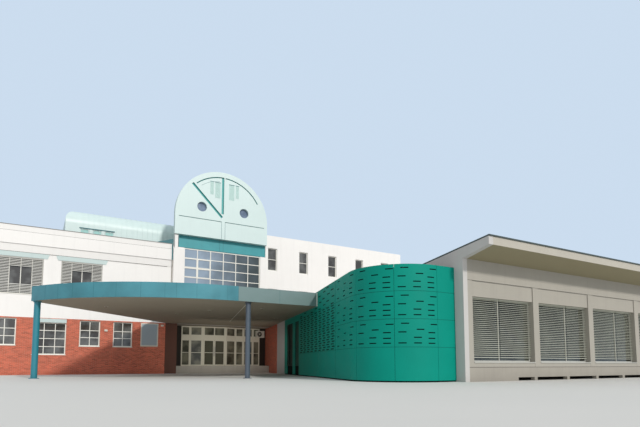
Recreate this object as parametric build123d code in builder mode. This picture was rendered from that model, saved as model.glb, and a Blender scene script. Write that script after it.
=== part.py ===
from build123d import *
from math import atan2, cos, degrees, radians, sin, sqrt, tan
import os

os.makedirs("parts", exist_ok=True)

# A two-storey medical clinic: a brick and render wing, an arched entrance tower, a taller
# block to the right, a curved canopy on two columns, a curved slotted metal screen and a
# single-storey pavilion in front.
#
# Millimetres, +Z up. Plan places are given as x to the right of the tower's axis and y into
# the building from the main facade line, and heights z from the lowest ground. The origin of
# the finished model is the middle of the footprint, on that ground.

# Storeys and levels
floor_level = 600
ground_storey = 3300
slab = 300
soffit_level = floor_level + ground_storey
first_level = soffit_level + slab
second_level = 8000

# Plan of the main range
wing_length = 12030
tower_width = 7900
main_length = 15170
range_depth = 9300
outer_wall = 350
tower_left = -tower_width / 2
tower_right = tower_width / 2
wing_end = tower_left - wing_length
main_end = tower_right + main_length
range_back = range_depth
inner_face = range_depth - outer_wall

# Heights of the roofs and parapets
wing_height = 10180
wing_parapet = 580
wing_roof_level = wing_height - wing_parapet
main_height = 12000
main_parapet = 300
main_roof_level = main_height - main_parapet
coping = 50
coping_lap = 20
coping_neck = 380
fascia_height = 870
cornice_height = 550
fascia_top = wing_height - coping - coping_neck
fascia_bottom = fascia_top - fascia_height
cornice_bottom = fascia_bottom - cornice_height
cornice_proud = 20
fascia_proud = 90

# Windows of the wing; the places of their left edges are taken from the wing's end
window_set_back = 110
frame_bar = 70
glazing_bar = 45
frame_depth = 80
glass = 24
ground_head = 3820
narrow_window = 1330
wide_window = 2020
narrow_sill = 2000
wide_sill = 1380
wide_head = 3600
narrow_window_offsets = (480, 5640, 7850)
narrow_rail_rises = (620, 1130)
wide_window_offset = 2780
wide_lintel = 260
shutter_offset = 9780
shutter_sill = 2080
shutter_width = 1270
upper_window = 2660
upper_sill = 5470
upper_lintel = 330
upper_head = cornice_bottom - upper_lintel
upper_window_offsets = (570, 4320)
lintel_reach = 350
lintel_proud = 30
lintel_slant = 120
brick_pier = 450

# Penthouse on the wing's roof
penthouse_length = 7470
penthouse_front = 3000
penthouse_depth = 4600
penthouse_height = 3200
penthouse_top = wing_roof_level + penthouse_height
penthouse_front_radius = 1200
penthouse_end_radius = 900
penthouse_skin = 180
penthouse_window = 680
penthouse_window_gap = 200
penthouse_window_count = 3
penthouse_window_inset = 1030
penthouse_window_set_back = 40
penthouse_window_height = 720
penthouse_head_rise = 1670
penthouse_head = wing_roof_level + penthouse_head_rise
penthouse_sill = penthouse_head - penthouse_window_height

# Entrance tower
spring_level = 12730
gable_bottom = 11000
gable_thickness = 400
gable_front = -300
gable_back = gable_front + gable_thickness
rim = 420
groove = 200
groove_depth = 120
upright_groove_offset = 80
upright_groove_foot = 400
slanting_groove_foot = (-120, 100)
slanting_groove_angle = 135
arc_groove = 90
arc_groove_right = (30, 88)
arc_groove_left = (93, 131)
level_groove = 50
level_groove_drop = 260
level_groove_inset = 290
level_groove_gap = 300
porthole = 800
porthole_reach = 1810
porthole_rise = 760
band_bottom = 10000
curtain_front = 100
curtain_bottom = 5000
curtain_left = tower_left + 870
curtain_right = tower_right - 480
curtain_bays = 6
curtain_row = 780
curtain_bar = 60
pier_proud = 150
pier_top = 9860
slim_column = 250
slim_column_inset = 70
tower_wall = 450
vault_inset = 850
vault_shell = 200

# Windows of the main block and of the hidden back
main_window = 900
main_window_height = 2000
main_window_pitch = 3100
main_first_sill = 5300
main_top_window_drop = 3100
main_second_sill = main_height - main_top_window_drop
main_ground_sill = 1600
main_window_inset = 240

# Recessed entrance
entrance_axis = 120
recess_depth = 2100
bow = 300
door_leaf = 925
leaf_gap = 14
door_head = 2800
transom_depth = 300
leaf_thickness = 60
screen_depth = 100
door_bar = 95
door_post = 95
side_bay = 1045
end_bay = 735
right_bay = 890
far_bay = 650
rail_height = 1100
pivot = 24
seat_gap = 0.3

# Air conditioner over the transom at the right of the entrance
ac_width = 750
ac_depth = 300
ac_height = 600
ac_side_gap = 150
fan_radius = 230
fan_recess = 40
fan_share = 0.4

# Boundary wall that leans away to the right of the forecourt
boundary_angle = 15
boundary_wall = 250
flank_angle = 16.8
canopy_front = -15275
screen_length = 9100
plaster_length = 3000
boundary_top = 4600

# Curved metal screen
nose_radius = 2350
nose_x = 860
nose_y = -21560
screen_top = 4720
screen_skin = 40
screen_foot = 60
panel_joint = 12
row_joints = (1390, 2510, 3630)
slot_length = 320
slot_height = 45
slot_shift = 112
slot_pattern = (
    ((940, 1), (595, 0), (160, 0)),
    ((700, 1), (383, 0), (160, 0)),
    ((905, 1), (575, 0), (350, 0), (152, 0)),
)
back_slot_pitch = 960
service_door = 1150
service_door_start = 4550
staff_door_start = 6400
staff_door = 1100
staff_sidelight = 650
side_door_head = 3500

# Canopy
canopy_soffit = 3900
canopy_height = 740
canopy_radius = 10150
canopy_arc_x = -4310
canopy_tip_x = -13300
canopy_back_left = -4360
canopy_edge = 60
canopy_rim = 40
tip_column = 300
front_column = 260
tip_column_x = -13020
tip_column_y = -9870
front_column_x = -3650
front_column_y = -14960

# Pavilion
pavilion_left = 1840
pavilion_front = -24390
pavilion_depth = 8790
pavilion_wall = 250
pavilion_front_thickness = 350
pavilion_set_back = 240
pavilion_roof_edge = -25740
pavilion_eave_bottom = 5340
pavilion_eave = 320
pavilion_junction = 5040
pavilion_fall = 7.7
roof_sheet = 55
roof_lip = 40
bay_start = 520
bay_window = 3890
bay_pier = 410
end_pier = 430
mullion_shares = (0.465, 0.59, 0.60, 0.60)
pavilion_sill = 800
pavilion_head = 3510
panel_top = 4170
panel_recess = 30
base_bottom = 150
base_top = 590
post = 200
post_pitch = 2400
solid_base = 3000
blind_thickness = 60
blind_set_back = 20
blind_foot = 980
blind_gap = 30

# Link behind the screen
link_right = 6000
link_roof_top = 4450
link_roof_thickness = 250

# Middle of the footprint
bay_pitch = bay_window + bay_pier
pavilion_right = pavilion_left + bay_start + len(mullion_shares) * bay_pitch - bay_pier + end_pier
pavilion_back = pavilion_front + pavilion_depth
middle_x = (wing_end - coping_lap + pavilion_right) / 2
middle_y = (pavilion_roof_edge - roof_lip + range_back + coping_lap) / 2


def level(z):
    """Level plane at height z, which carries plan places."""
    return Plane(origin=(-middle_x, -middle_y, z))


def facing(start, angle=0.0):
    """Upright plane through a plan place, turned by an angle from the facade line.

    Its first axis runs along the wall, its second is height and its normal looks outward."""
    along = Vector(cos(radians(angle)), sin(radians(angle)), 0)
    place = (start[0] - middle_x, start[1] - middle_y, 0)
    return Plane(origin=place, x_dir=along, z_dir=along.cross(Vector(0, 0, 1)))


def elevation(y):
    """Upright plane parallel to the facade at plan depth y."""
    return facing((0, y))


def section(x):
    """Upright plane across the facade at plan place x: first axis y, second axis z."""
    return Plane(origin=(x - middle_x, -middle_y, 0), x_dir=(0, 1, 0), z_dir=(1, 0, 0))


def block(x, y, z, mode=Mode.ADD):
    """Plain block between two plan places and two heights."""
    with BuildSketch(level(z[0])) as outline:
        with Locations(((x[0] + x[1]) / 2, (y[0] + y[1]) / 2)):
            Rectangle(x[1] - x[0], y[1] - y[0])
    extrude(outline.sketch, amount=z[1] - z[0], mode=mode)


def slab_of(points, z, mode=Mode.ADD):
    """Flat slab over a plan outline between two heights."""
    with BuildSketch(level(z[0])) as outline:
        with BuildLine():
            Polyline(*points, close=True)
        make_face()
    extrude(outline.sketch, amount=z[1] - z[0], mode=mode)


def panel(plane, x, z, thickness, mode=Mode.ADD):
    """Rectangular panel that runs back from an upright plane."""
    with BuildSketch(plane) as outline:
        with Locations(((x[0] + x[1]) / 2, (z[0] + z[1]) / 2)):
            Rectangle(x[1] - x[0], z[1] - z[0])
    extrude(outline.sketch, amount=-thickness, mode=mode)


def frame(plane, x, z, posts=(), rails=(), bar=frame_bar, inner=glazing_bar, depth=frame_depth):
    """Window frame in an upright plane; its glazing bars lie in front of the glass."""
    middle = ((x[0] + x[1]) / 2, (z[0] + z[1]) / 2)
    width = x[1] - x[0]
    height = z[1] - z[0]
    with BuildSketch(plane) as surround:
        with Locations(middle):
            Rectangle(width, height)
            Rectangle(width - 2 * bar, height - 2 * bar, mode=Mode.SUBTRACT)
    extrude(surround.sketch, amount=-depth)
    if posts or rails:
        with BuildSketch(plane) as bars:
            for place in posts:
                with Locations((place, middle[1])):
                    Rectangle(inner, height)
            for place in rails:
                with Locations((middle[0], place)):
                    Rectangle(width, inner)
        extrude(bars.sketch, amount=-(depth - glass) / 2)


def pane(plane, x, z, bar=frame_bar, depth=frame_depth):
    """Sheet of glass inside a frame, just behind its glazing bars."""
    panel(
        plane.offset(-(depth - glass) / 2),
        (x[0] + bar, x[1] - bar),
        (z[0] + bar, z[1] - bar),
        glass,
    )


def evenly(start, end, parts):
    """Inner places that divide a stretch into equal parts."""
    return [start + (end - start) * step / parts for step in range(1, parts)]


# Window openings of the wing: left, right, sill, head, posts and rails
narrow_rails = [narrow_sill + rise for rise in narrow_rail_rises]
wing_ground_windows = []
for offset_along in narrow_window_offsets:
    place = wing_end + offset_along
    wing_ground_windows.append((place, place + narrow_window, narrow_sill, ground_head, 2, narrow_rails))
wide_rails = evenly(wide_sill, wide_head, 4)
wide_window_place = wing_end + wide_window_offset
wing_ground_windows.append(
    (wide_window_place, wide_window_place + wide_window, wide_sill, wide_head, 3, wide_rails)
)
wing_upper_windows = []
for offset_along in upper_window_offsets:
    place = wing_end + offset_along
    wing_upper_windows.append((place, place + upper_window, upper_sill, upper_head, 4, ()))
shutter_place = wing_end + shutter_offset
shutter_opening = (shutter_place, shutter_place + shutter_width, shutter_sill, ground_head)

# Window openings of the main block's front, and of the plain back of all three parts
main_window_places = []
place = tower_right + main_window_inset
while place + main_window < main_end - outer_wall:
    main_window_places.append(place)
    place += main_window_pitch
main_front_windows = []
for sill in (main_first_sill, main_second_sill):
    for place in main_window_places:
        main_front_windows.append(
            (place, place + main_window, sill, sill + main_window_height, 1,
             (sill + main_window_height / 2,))
        )
main_ground_windows = []
for place in main_window_places[1:]:
    main_ground_windows.append(
        (place, place + main_window, main_ground_sill, main_ground_sill + main_window_height, 1,
         (main_ground_sill + main_window_height / 2,))
    )
back_main_windows = []
for sill in (main_ground_sill, main_first_sill, main_second_sill):
    for place in main_window_places[1:]:
        back_main_windows.append((place, place + main_window, sill, sill + main_window_height, 1, ()))
back_wing_windows = []
for left, right, sill, head, columns, rails in wing_ground_windows + wing_upper_windows:
    back_wing_windows.append((left, right, sill, head, 2, ()))


def pierce(windows, y):
    """Cut a wall through at each window."""
    for left, right, sill, head, columns, rails in windows:
        block((left, right), y, (sill, head), Mode.SUBTRACT)


def frames_of(windows, y):
    """A frame in each window, its outer face at plan depth y."""
    for left, right, sill, head, columns, rails in windows:
        frame(elevation(y), (left, right), (sill, head), evenly(left, right, columns), rails)


def panes_of(windows, y):
    """Glass for each window frame."""
    for left, right, sill, head, columns, rails in windows:
        pane(elevation(y), (left, right), (sill, head))


front_frame_face = window_set_back
back_frame_face = range_back - window_set_back - frame_depth

# Main range: walls of the wing

with BuildPart() as ground_front_wall:
    block((wing_end + outer_wall, tower_left - brick_pier), (0, outer_wall), (0, soffit_level))
    pierce(wing_ground_windows, (0, outer_wall))
    block(shutter_opening[:2], (0, window_set_back), shutter_opening[2:], Mode.SUBTRACT)

with BuildPart() as entrance_pier:
    block((tower_left - brick_pier, tower_left), (0, outer_wall), (0, soffit_level))

with BuildPart() as upper_front_wall:
    block((wing_end + outer_wall, tower_left), (0, outer_wall), (soffit_level, cornice_bottom))
    pierce(wing_upper_windows, (0, outer_wall))

with BuildPart() as parapet_front:
    with BuildSketch(section(wing_end)):
        with BuildLine():
            Polyline(
                (outer_wall, cornice_bottom),
                (-cornice_proud, cornice_bottom),
                (-cornice_proud, fascia_bottom),
                (-fascia_proud, fascia_bottom),
                (-fascia_proud, fascia_top),
                (-fascia_proud + coping_lap, fascia_top),
                (-fascia_proud + coping_lap, wing_height - coping),
                (-fascia_proud, wing_height - coping),
                (-fascia_proud, wing_height),
                (outer_wall, wing_height),
                close=True,
            )
        make_face()
    extrude(amount=tower_left - wing_end)

coping_back = range_back + coping_lap
wing_coping = (wing_height - coping, wing_height)
main_coping = (main_height - coping, main_height)

with BuildPart() as end_walls:
    block((wing_end, wing_end + outer_wall), (0, range_back), (0, cornice_bottom))
    block((wing_end, wing_end + outer_wall), (outer_wall, range_back), (cornice_bottom, wing_height))
    block((wing_end - coping_lap, wing_end + outer_wall), (outer_wall, coping_back), wing_coping)
    block((main_end - outer_wall, main_end), (0, range_back), (0, main_height))
    block((main_end - outer_wall, main_end + coping_lap), (0, coping_back), main_coping)

with BuildPart() as back_walls:
    block((wing_end + outer_wall, tower_left), (inner_face, range_back), (0, wing_height))
    block((wing_end + outer_wall, tower_left), (inner_face, coping_back), wing_coping)
    block((tower_left + tower_wall, tower_right - tower_wall), (inner_face, range_back), (0, wing_height))
    block((tower_right, main_end - outer_wall), (inner_face, range_back), (0, main_height))
    block((tower_right, main_end - outer_wall), (inner_face, coping_back), main_coping)
    pierce(back_wing_windows, (inner_face, range_back))
    pierce(back_main_windows, (inner_face, range_back))

with BuildPart() as window_frames:
    frames_of(wing_ground_windows + wing_upper_windows, front_frame_face)
    frames_of(main_front_windows + main_ground_windows, front_frame_face)
    frames_of(back_wing_windows + back_main_windows, back_frame_face)

with BuildPart() as window_glass:
    panes_of(wing_ground_windows + wing_upper_windows, front_frame_face)
    panes_of(main_front_windows + main_ground_windows, front_frame_face)
    panes_of(back_wing_windows + back_main_windows, back_frame_face)

with BuildPart() as window_lintels:
    for left, right, sill, head, columns, rails in wing_upper_windows:
        with BuildSketch(elevation(-lintel_proud)) as lintel:
            with BuildLine():
                Polyline(
                    (left - lintel_reach, cornice_bottom),
                    (left - lintel_reach + lintel_slant, head),
                    (right + lintel_reach - lintel_slant, head),
                    (right + lintel_reach, cornice_bottom),
                    close=True,
                )
            make_face()
        extrude(lintel.sketch, amount=-lintel_proud)
    panel(
        elevation(-lintel_proud),
        (wide_window_place, wide_window_place + wide_window),
        (wide_head, wide_head + wide_lintel),
        lintel_proud,
    )

with BuildPart() as closed_shutter:
    panel(
        elevation(0),
        shutter_opening[:2],
        shutter_opening[2:],
        window_set_back,
    )

# Main range: floors and roofs

wing_inside = (wing_end + outer_wall, tower_left)
main_inside = (tower_left + tower_wall, main_end - outer_wall)
boundary_slope = tan(radians(boundary_angle))


def boundary_x(y):
    """Outer face of the leaning boundary wall at plan depth y."""
    return flank_end[0] + (y - canopy_front) * boundary_slope


flank_start = (
    nose_x - nose_radius * cos(radians(flank_angle)),
    nose_y + nose_radius * sin(radians(flank_angle)),
)
flank_end = (flank_start[0] + (canopy_front - flank_start[1]) * tan(radians(flank_angle)), canopy_front)
wall_across = boundary_wall / cos(radians(boundary_angle))
screen_line = recess_depth

with BuildPart() as ground_floors:
    block(wing_inside, (outer_wall, inner_face), (0, floor_level))
    slab_of(
        (
            (tower_left + tower_wall, 0),
            (boundary_x(0), 0),
            (boundary_x(screen_line + screen_depth), screen_line + screen_depth),
            (boundary_x(screen_line + screen_depth) + wall_across, screen_line + screen_depth),
            (boundary_x(outer_wall) + wall_across, outer_wall),
            (main_end - outer_wall, outer_wall),
            (main_end - outer_wall, inner_face),
            (tower_left + tower_wall, inner_face),
        ),
        (0, floor_level),
    )

with BuildPart() as upper_floors:
    block(wing_inside, (outer_wall, inner_face), (soffit_level, first_level))
    block(main_inside, (outer_wall, inner_face), (soffit_level, first_level))
    block(
        (tower_right, main_end - outer_wall),
        (outer_wall, inner_face),
        (second_level - slab, second_level),
    )

with BuildPart() as flat_roofs:
    block(wing_inside, (outer_wall, inner_face), (wing_roof_level - slab, wing_roof_level))
    block(
        (tower_left, tower_right - tower_wall),
        (outer_wall, inner_face),
        (wing_height - slab, wing_height),
    )
    block(
        (tower_right, main_end - outer_wall),
        (outer_wall, inner_face),
        (main_roof_level - slab, main_roof_level),
    )

# Penthouse on the roofs of the wing and the tower

penthouse_left = tower_left - penthouse_length
penthouse_right = tower_right - tower_wall
penthouse_back = penthouse_front + penthouse_depth
penthouse_window_left = penthouse_left + penthouse_window_inset
penthouse_openings = []
for step in range(penthouse_window_count):
    left = penthouse_window_left + step * (penthouse_window + penthouse_window_gap)
    penthouse_openings.append((left, left + penthouse_window, penthouse_sill, penthouse_head, 1, ()))


def penthouse_body(inset):
    """Solid of the penthouse with its front and end rounded at the top, drawn in by an inset."""
    top = penthouse_top - inset
    left = penthouse_left + inset
    right = penthouse_right - inset
    front = penthouse_front + inset
    back = penthouse_back - inset
    front_radius = penthouse_front_radius - inset
    end_radius = penthouse_end_radius - inset
    with BuildSketch(section(left)) as across:
        with BuildLine():
            Polyline(
                (front, top - front_radius),
                (front, wing_roof_level),
                (back, wing_roof_level),
                (back, top),
                (front + front_radius, top),
            )
            RadiusArc((front + front_radius, top), (front, top - front_radius), -front_radius)
        make_face()
    with BuildSketch(elevation(front)) as along:
        with BuildLine():
            Polyline(
                (left + end_radius, top),
                (right, top),
                (right, wing_height),
                (tower_left, wing_height),
                (tower_left, wing_roof_level),
                (left, wing_roof_level),
                (left, top - end_radius),
            )
            RadiusArc((left, top - end_radius), (left + end_radius, top), end_radius)
        make_face()
    length = extrude(across.sketch, amount=right - left, mode=Mode.PRIVATE)
    depth = extrude(along.sketch, amount=front - back, mode=Mode.PRIVATE)
    return length & depth


with BuildPart() as penthouse:
    add(penthouse_body(0))
    add(penthouse_body(penthouse_skin), mode=Mode.SUBTRACT)
    pierce(penthouse_openings, (penthouse_front, penthouse_front + penthouse_skin))

penthouse_window_plane = elevation(penthouse_front + penthouse_window_set_back)

with BuildPart() as penthouse_windows:
    for left, right, sill, head, columns, rails in penthouse_openings:
        frame(penthouse_window_plane, (left, right), (sill, head))
        pane(penthouse_window_plane, (left, right), (sill, head))

# Entrance tower

arch_radius = tower_width / 2
field_radius = arch_radius - rim
canopy_top = canopy_soffit + canopy_height
slant_start = (slanting_groove_foot[0], spring_level + slanting_groove_foot[1])
level_groove_ends = (level_groove_gap / 2, arch_radius - level_groove_inset)


def cut_arc_groove(start, end):
    """Cut a stretch of the groove that follows the gable's arch, between two compass angles."""
    with BuildSketch(elevation(gable_front)) as sector:
        with BuildLine():
            outside = CenterArc((0, spring_level), field_radius, start, end - start)
            inside = CenterArc((0, spring_level), field_radius - arc_groove, start, end - start)
            Line(outside @ 0, inside @ 0)
            Line(outside @ 1, inside @ 1)
        make_face()
    extrude(sector.sketch, amount=-groove_depth, mode=Mode.SUBTRACT)


with BuildPart() as tower_gable:
    with BuildSketch(elevation(gable_front)) as gable_outline:
        with Locations((0, spring_level)):
            Circle(arch_radius)
        with Locations((0, (gable_bottom + spring_level) / 2)):
            Rectangle(tower_width, spring_level - gable_bottom)
        with Locations((0, gable_bottom - arch_radius)):
            Rectangle(tower_width, 2 * arch_radius, mode=Mode.SUBTRACT)
    extrude(gable_outline.sketch, amount=-gable_thickness)
    with BuildSketch(elevation(gable_front)) as grooves:
        with Locations((-upright_groove_offset, spring_level + (upright_groove_foot + field_radius) / 2)):
            Rectangle(groove, field_radius - upright_groove_foot)
        with Locations(slant_start):
            with Locations(Rotation(0, 0, slanting_groove_angle)):
                with Locations((field_radius / 2, 0)):
                    Rectangle(field_radius, groove)
        for side in (-1, 1):
            with Locations((side * sum(level_groove_ends) / 2, spring_level - level_groove_drop)):
                Rectangle(level_groove_ends[1] - level_groove_ends[0], level_groove)
    extrude(grooves.sketch, amount=-groove_depth, mode=Mode.SUBTRACT)
    cut_arc_groove(*arc_groove_left)
    cut_arc_groove(*arc_groove_right)
    for side in (-1, 1):
        with BuildSketch(elevation(gable_front)) as hole:
            with Locations((side * porthole_reach, spring_level + porthole_rise)):
                Circle(porthole / 2)
        extrude(hole.sketch, amount=-gable_thickness, mode=Mode.SUBTRACT)

with BuildPart() as porthole_glass:
    for side in (-1, 1):
        with BuildSketch(elevation(gable_front + gable_thickness / 2)) as disc:
            with Locations((side * porthole_reach, spring_level + porthole_rise)):
                Circle(porthole / 2)
        extrude(disc.sketch, amount=-glass)

with BuildPart() as tower_band:
    block(
        (tower_left + tower_wall, tower_right),
        (gable_back, outer_wall),
        (band_bottom, gable_bottom),
    )

with BuildPart() as tower_front_wall:
    block((tower_left, tower_right), (0, outer_wall), (soffit_level, band_bottom))
    block(
        (curtain_left, curtain_right),
        (0, outer_wall),
        (curtain_bottom, band_bottom),
        Mode.SUBTRACT,
    )
    block((tower_left, curtain_left), (-pier_proud, 0), (canopy_top, pier_top))
    slim_column_left = tower_left + slim_column_inset
    block(
        (slim_column_left, slim_column_left + slim_column),
        (-pier_proud, 0),
        (pier_top, band_bottom),
    )
    block(
        (slim_column_left, slim_column_left + slim_column),
        (-pier_proud, gable_back),
        (band_bottom, gable_bottom),
    )

curtain_posts = evenly(curtain_left, curtain_right, curtain_bays)
curtain_rails = []
height = band_bottom - curtain_row
while height > curtain_bottom + curtain_row / 2:
    curtain_rails.append(height)
    height -= curtain_row

with BuildPart() as curtain_wall_frame:
    frame(
        elevation(curtain_front),
        (curtain_left, curtain_right),
        (curtain_bottom, band_bottom),
        curtain_posts,
        curtain_rails,
        inner=curtain_bar,
    )

with BuildPart() as curtain_wall_glass:
    pane(elevation(curtain_front), (curtain_left, curtain_right), (curtain_bottom, band_bottom))

with BuildPart() as tower_side_walls:
    block((tower_left, tower_left + tower_wall), (outer_wall, range_back), (0, wing_height - slab))
    block(
        (tower_left, tower_left + tower_wall),
        (inner_face, range_back),
        (wing_height - slab, wing_height),
    )
    block((tower_left, tower_left + tower_wall), (0, outer_wall), (0, soffit_level))
    block((tower_right - tower_wall, tower_right), (outer_wall, range_back), (first_level, main_height))
    block((tower_right - tower_wall, tower_right), (inner_face, range_back), (0, first_level))
    block((tower_right - tower_wall, tower_right), (gable_back, outer_wall), (gable_bottom, main_height))


def vault(radius, y):
    """Upright-sided vault over the tower's roof between two plan depths."""
    with BuildSketch(elevation(y[0])) as profile:
        with Locations((0, spring_level)):
            Circle(radius)
        with Locations((0, (wing_height + spring_level) / 2)):
            Rectangle(2 * radius, spring_level - wing_height)
        with Locations((0, wing_height - radius)):
            Rectangle(2 * radius, 2 * radius, mode=Mode.SUBTRACT)
    return extrude(profile.sketch, amount=y[0] - y[1], mode=Mode.PRIVATE)


vault_radius = arch_radius - vault_inset

with BuildPart() as vault_roof:
    add(vault(vault_radius, (gable_back, penthouse_front)))
    add(
        vault(vault_radius - vault_shell, (gable_back, penthouse_front - vault_shell)),
        mode=Mode.SUBTRACT,
    )
    block((tower_left, tower_right), (gable_back, outer_wall), (wing_height, gable_bottom), Mode.SUBTRACT)

# Main block

with BuildPart() as main_ground_wall:
    block((boundary_x(outer_wall) + wall_across, main_end - outer_wall), (0, outer_wall), (0, soffit_level))
    pierce(main_ground_windows, (0, outer_wall))

with BuildPart() as main_front_wall:
    block((tower_right, main_end - outer_wall), (0, outer_wall), (soffit_level, main_height))
    pierce(main_front_windows, (0, outer_wall))

# Recessed entrance

door_half = leaf_gap / 2 + door_leaf + leaf_gap
door_line = recess_depth - bow
left_post = entrance_axis - door_half
right_post = entrance_axis + door_half
left_bay_end = left_post - side_bay
right_bay_end = right_post + side_bay
bow_run = side_bay - door_post
bow_angle = degrees(atan2(bow, bow_run))
bow_length = bow_run / cos(radians(bow_angle))
transom_top = door_head + transom_depth
rail = floor_level + rail_height
screen_height = (floor_level, soffit_level)
glazed_rows = ((floor_level, door_head), (transom_top, soffit_level))
left_screen = ((facing((left_bay_end, recess_depth), -bow_angle), 0, bow_length),
               (elevation(recess_depth), left_bay_end - end_bay, left_bay_end))
right_screen = ((facing((right_post + door_post, door_line), bow_angle), 0, bow_length),
                (elevation(recess_depth), right_bay_end, right_bay_end + end_bay),
                (elevation(recess_depth), right_bay_end + end_bay, right_bay_end + end_bay + right_bay),
                (elevation(recess_depth), right_bay_end + end_bay + right_bay,
                 right_bay_end + end_bay + right_bay + far_bay))
screen_left_end = left_bay_end - end_bay
screen_right_end = right_bay_end + end_bay + right_bay + far_bay


def screen_bay(plane, start, end):
    """One bay of the entrance screen: a glazed lower light, a transom and a top light."""
    frame(plane, (start, end), glazed_rows[0], rails=(rail,), bar=door_bar, depth=screen_depth)
    panel(plane, (start, end), (door_head, transom_top), screen_depth)
    frame(plane, (start, end), glazed_rows[1], bar=door_bar, depth=screen_depth)


def screen_panes(plane, start, end):
    """Glass of one bay of the entrance screen."""
    pane(plane, (start, end), glazed_rows[0], bar=door_bar, depth=screen_depth)
    pane(plane, (start, end), glazed_rows[1], bar=door_bar, depth=screen_depth)


def screen_posts(door_side, bend):
    """Post beside the doors, and post where the bowed part meets the straight part."""
    block(door_side, (door_line, door_line + screen_depth), screen_height)
    block(
        (bend - door_post / 2, bend + door_post / 2),
        (recess_depth, recess_depth + screen_depth),
        screen_height,
    )


with BuildPart() as entrance_screen_left:
    screen_posts((left_post - door_post, left_post), left_bay_end)
    for plane, start, end in left_screen:
        screen_bay(plane, start, end)

with BuildPart() as entrance_screen_right:
    screen_posts((right_post, right_post + door_post), right_bay_end)
    for plane, start, end in right_screen:
        screen_bay(plane, start, end)

with BuildPart() as entrance_transom:
    panel(elevation(door_line), (left_post, right_post), (door_head, transom_top), screen_depth)
    frame(
        elevation(door_line),
        (left_post, right_post),
        glazed_rows[1],
        posts=(entrance_axis,),
        bar=door_bar,
        inner=door_bar,
        depth=screen_depth,
    )

with BuildPart() as entrance_glass:
    for plane, start, end in left_screen + right_screen:
        screen_panes(plane, start, end)
    pane(elevation(door_line), (left_post, right_post), glazed_rows[1], bar=door_bar, depth=screen_depth)

with BuildPart() as recess_side_panels:
    for start, end in (
        (tower_left + tower_wall, screen_left_end),
        (screen_right_end, boundary_x(recess_depth)),
    ):
        panel(elevation(recess_depth), (start, end), screen_height, screen_depth)


def door_leaf_solid(plane, edge, width, head, hinge_side):
    """Glazed door leaf with pivot pins; edge is its left side and hinge_side is -1 or 1."""
    face = plane.offset(-(screen_depth - leaf_thickness) / 2)
    heights = (floor_level + leaf_gap / 2, head - leaf_gap / 2)
    frame(face, (edge, edge + width), heights, rails=(rail,), bar=door_bar, depth=leaf_thickness)
    pane(face, (edge, edge + width), heights, bar=door_bar, depth=leaf_thickness)
    middle = edge + width / 2
    axis = middle + hinge_side * (width / 2 - leaf_thickness)
    foot = face.offset(-leaf_thickness / 2).from_local_coords((axis, floor_level + seat_gap, 0))
    with BuildSketch(Plane(foot, z_dir=(0, 0, 1))) as pin:
        Circle(pivot / 2)
    extrude(pin.sketch, amount=head - floor_level - 2 * seat_gap)


with BuildPart() as entrance_door_left:
    door_leaf_solid(elevation(door_line), left_post + leaf_gap, door_leaf, door_head, -1)

with BuildPart() as entrance_door_right:
    door_leaf_solid(elevation(door_line), entrance_axis + leaf_gap / 2, door_leaf, door_head, 1)

ac_right = boundary_x(recess_depth - ac_depth) - ac_side_gap

with BuildPart() as air_conditioner:
    block(
        (ac_right - ac_width, ac_right),
        (recess_depth - ac_depth, recess_depth),
        (transom_top, transom_top + ac_height),
    )
    with BuildSketch(elevation(recess_depth - ac_depth)) as fan:
        with Locations((ac_right - ac_width * (1 - fan_share), transom_top + ac_height / 2)):
            Circle(fan_radius)
    extrude(fan.sketch, amount=-fan_recess, mode=Mode.SUBTRACT)

# Boundary wall to the right of the forecourt

boundary_plane = facing(flank_end, -90 - boundary_angle)
flank_plane = facing(flank_end, -90 - flank_angle)
flank_length = (canopy_front - flank_start[1]) / cos(radians(flank_angle))
boundary_length = (recess_depth + screen_depth - canopy_front) / cos(radians(boundary_angle))
wall_behind_skin = boundary_wall - screen_skin
service_door_end = service_door_start + service_door
staff_door_end = staff_door_start + staff_door + staff_sidelight

with BuildPart() as brick_return_wall:
    panel(
        boundary_plane,
        (-boundary_length, -screen_length - plaster_length),
        (0, soffit_level),
        boundary_wall,
    )

with BuildPart() as plaster_wall:
    panel(
        boundary_plane,
        (-screen_length - plaster_length, -screen_length),
        (0, boundary_top),
        boundary_wall,
    )

with BuildPart() as flank_wall:
    panel(
        flank_plane.offset(-screen_skin),
        (-panel_joint, flank_length),
        (0, boundary_top),
        wall_behind_skin,
    )
    panel(
        boundary_plane.offset(-screen_skin),
        (-service_door_start, 0),
        (0, boundary_top),
        wall_behind_skin,
    )

with BuildPart() as doorway_piers:
    for start, end in ((service_door_end, staff_door_start), (staff_door_end, screen_length)):
        panel(
            boundary_plane.offset(-screen_skin),
            (-end, -start),
            (floor_level, side_door_head),
            wall_behind_skin,
        )

with BuildPart() as doorway_beams:
    for bottom, top in ((0, floor_level), (side_door_head, boundary_top)):
        panel(
            boundary_plane.offset(-screen_skin),
            (-screen_length, -service_door_start),
            (bottom, top),
            wall_behind_skin,
        )


def arc_wall(start, end, outer, thickness, z):
    """Stretch of the curved nose between two compass angles about its centre."""
    inner = outer - thickness
    with BuildSketch(level(z[0])) as plan:
        with BuildLine():
            outside = CenterArc((nose_x, nose_y), outer, start, end - start)
            inside = CenterArc((nose_x, nose_y), inner, start, end - start)
            Line(outside @ 0, inside @ 0)
            Line(outside @ 1, inside @ 1)
        make_face()
    extrude(plan.sketch, amount=z[1] - z[0])


nose_end_angle = 180 - flank_angle
nose_front_angle = 270
nose_wall_parts = 3
wall_radius = nose_radius - screen_skin
joint_angle = degrees(panel_joint / nose_radius)

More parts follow.
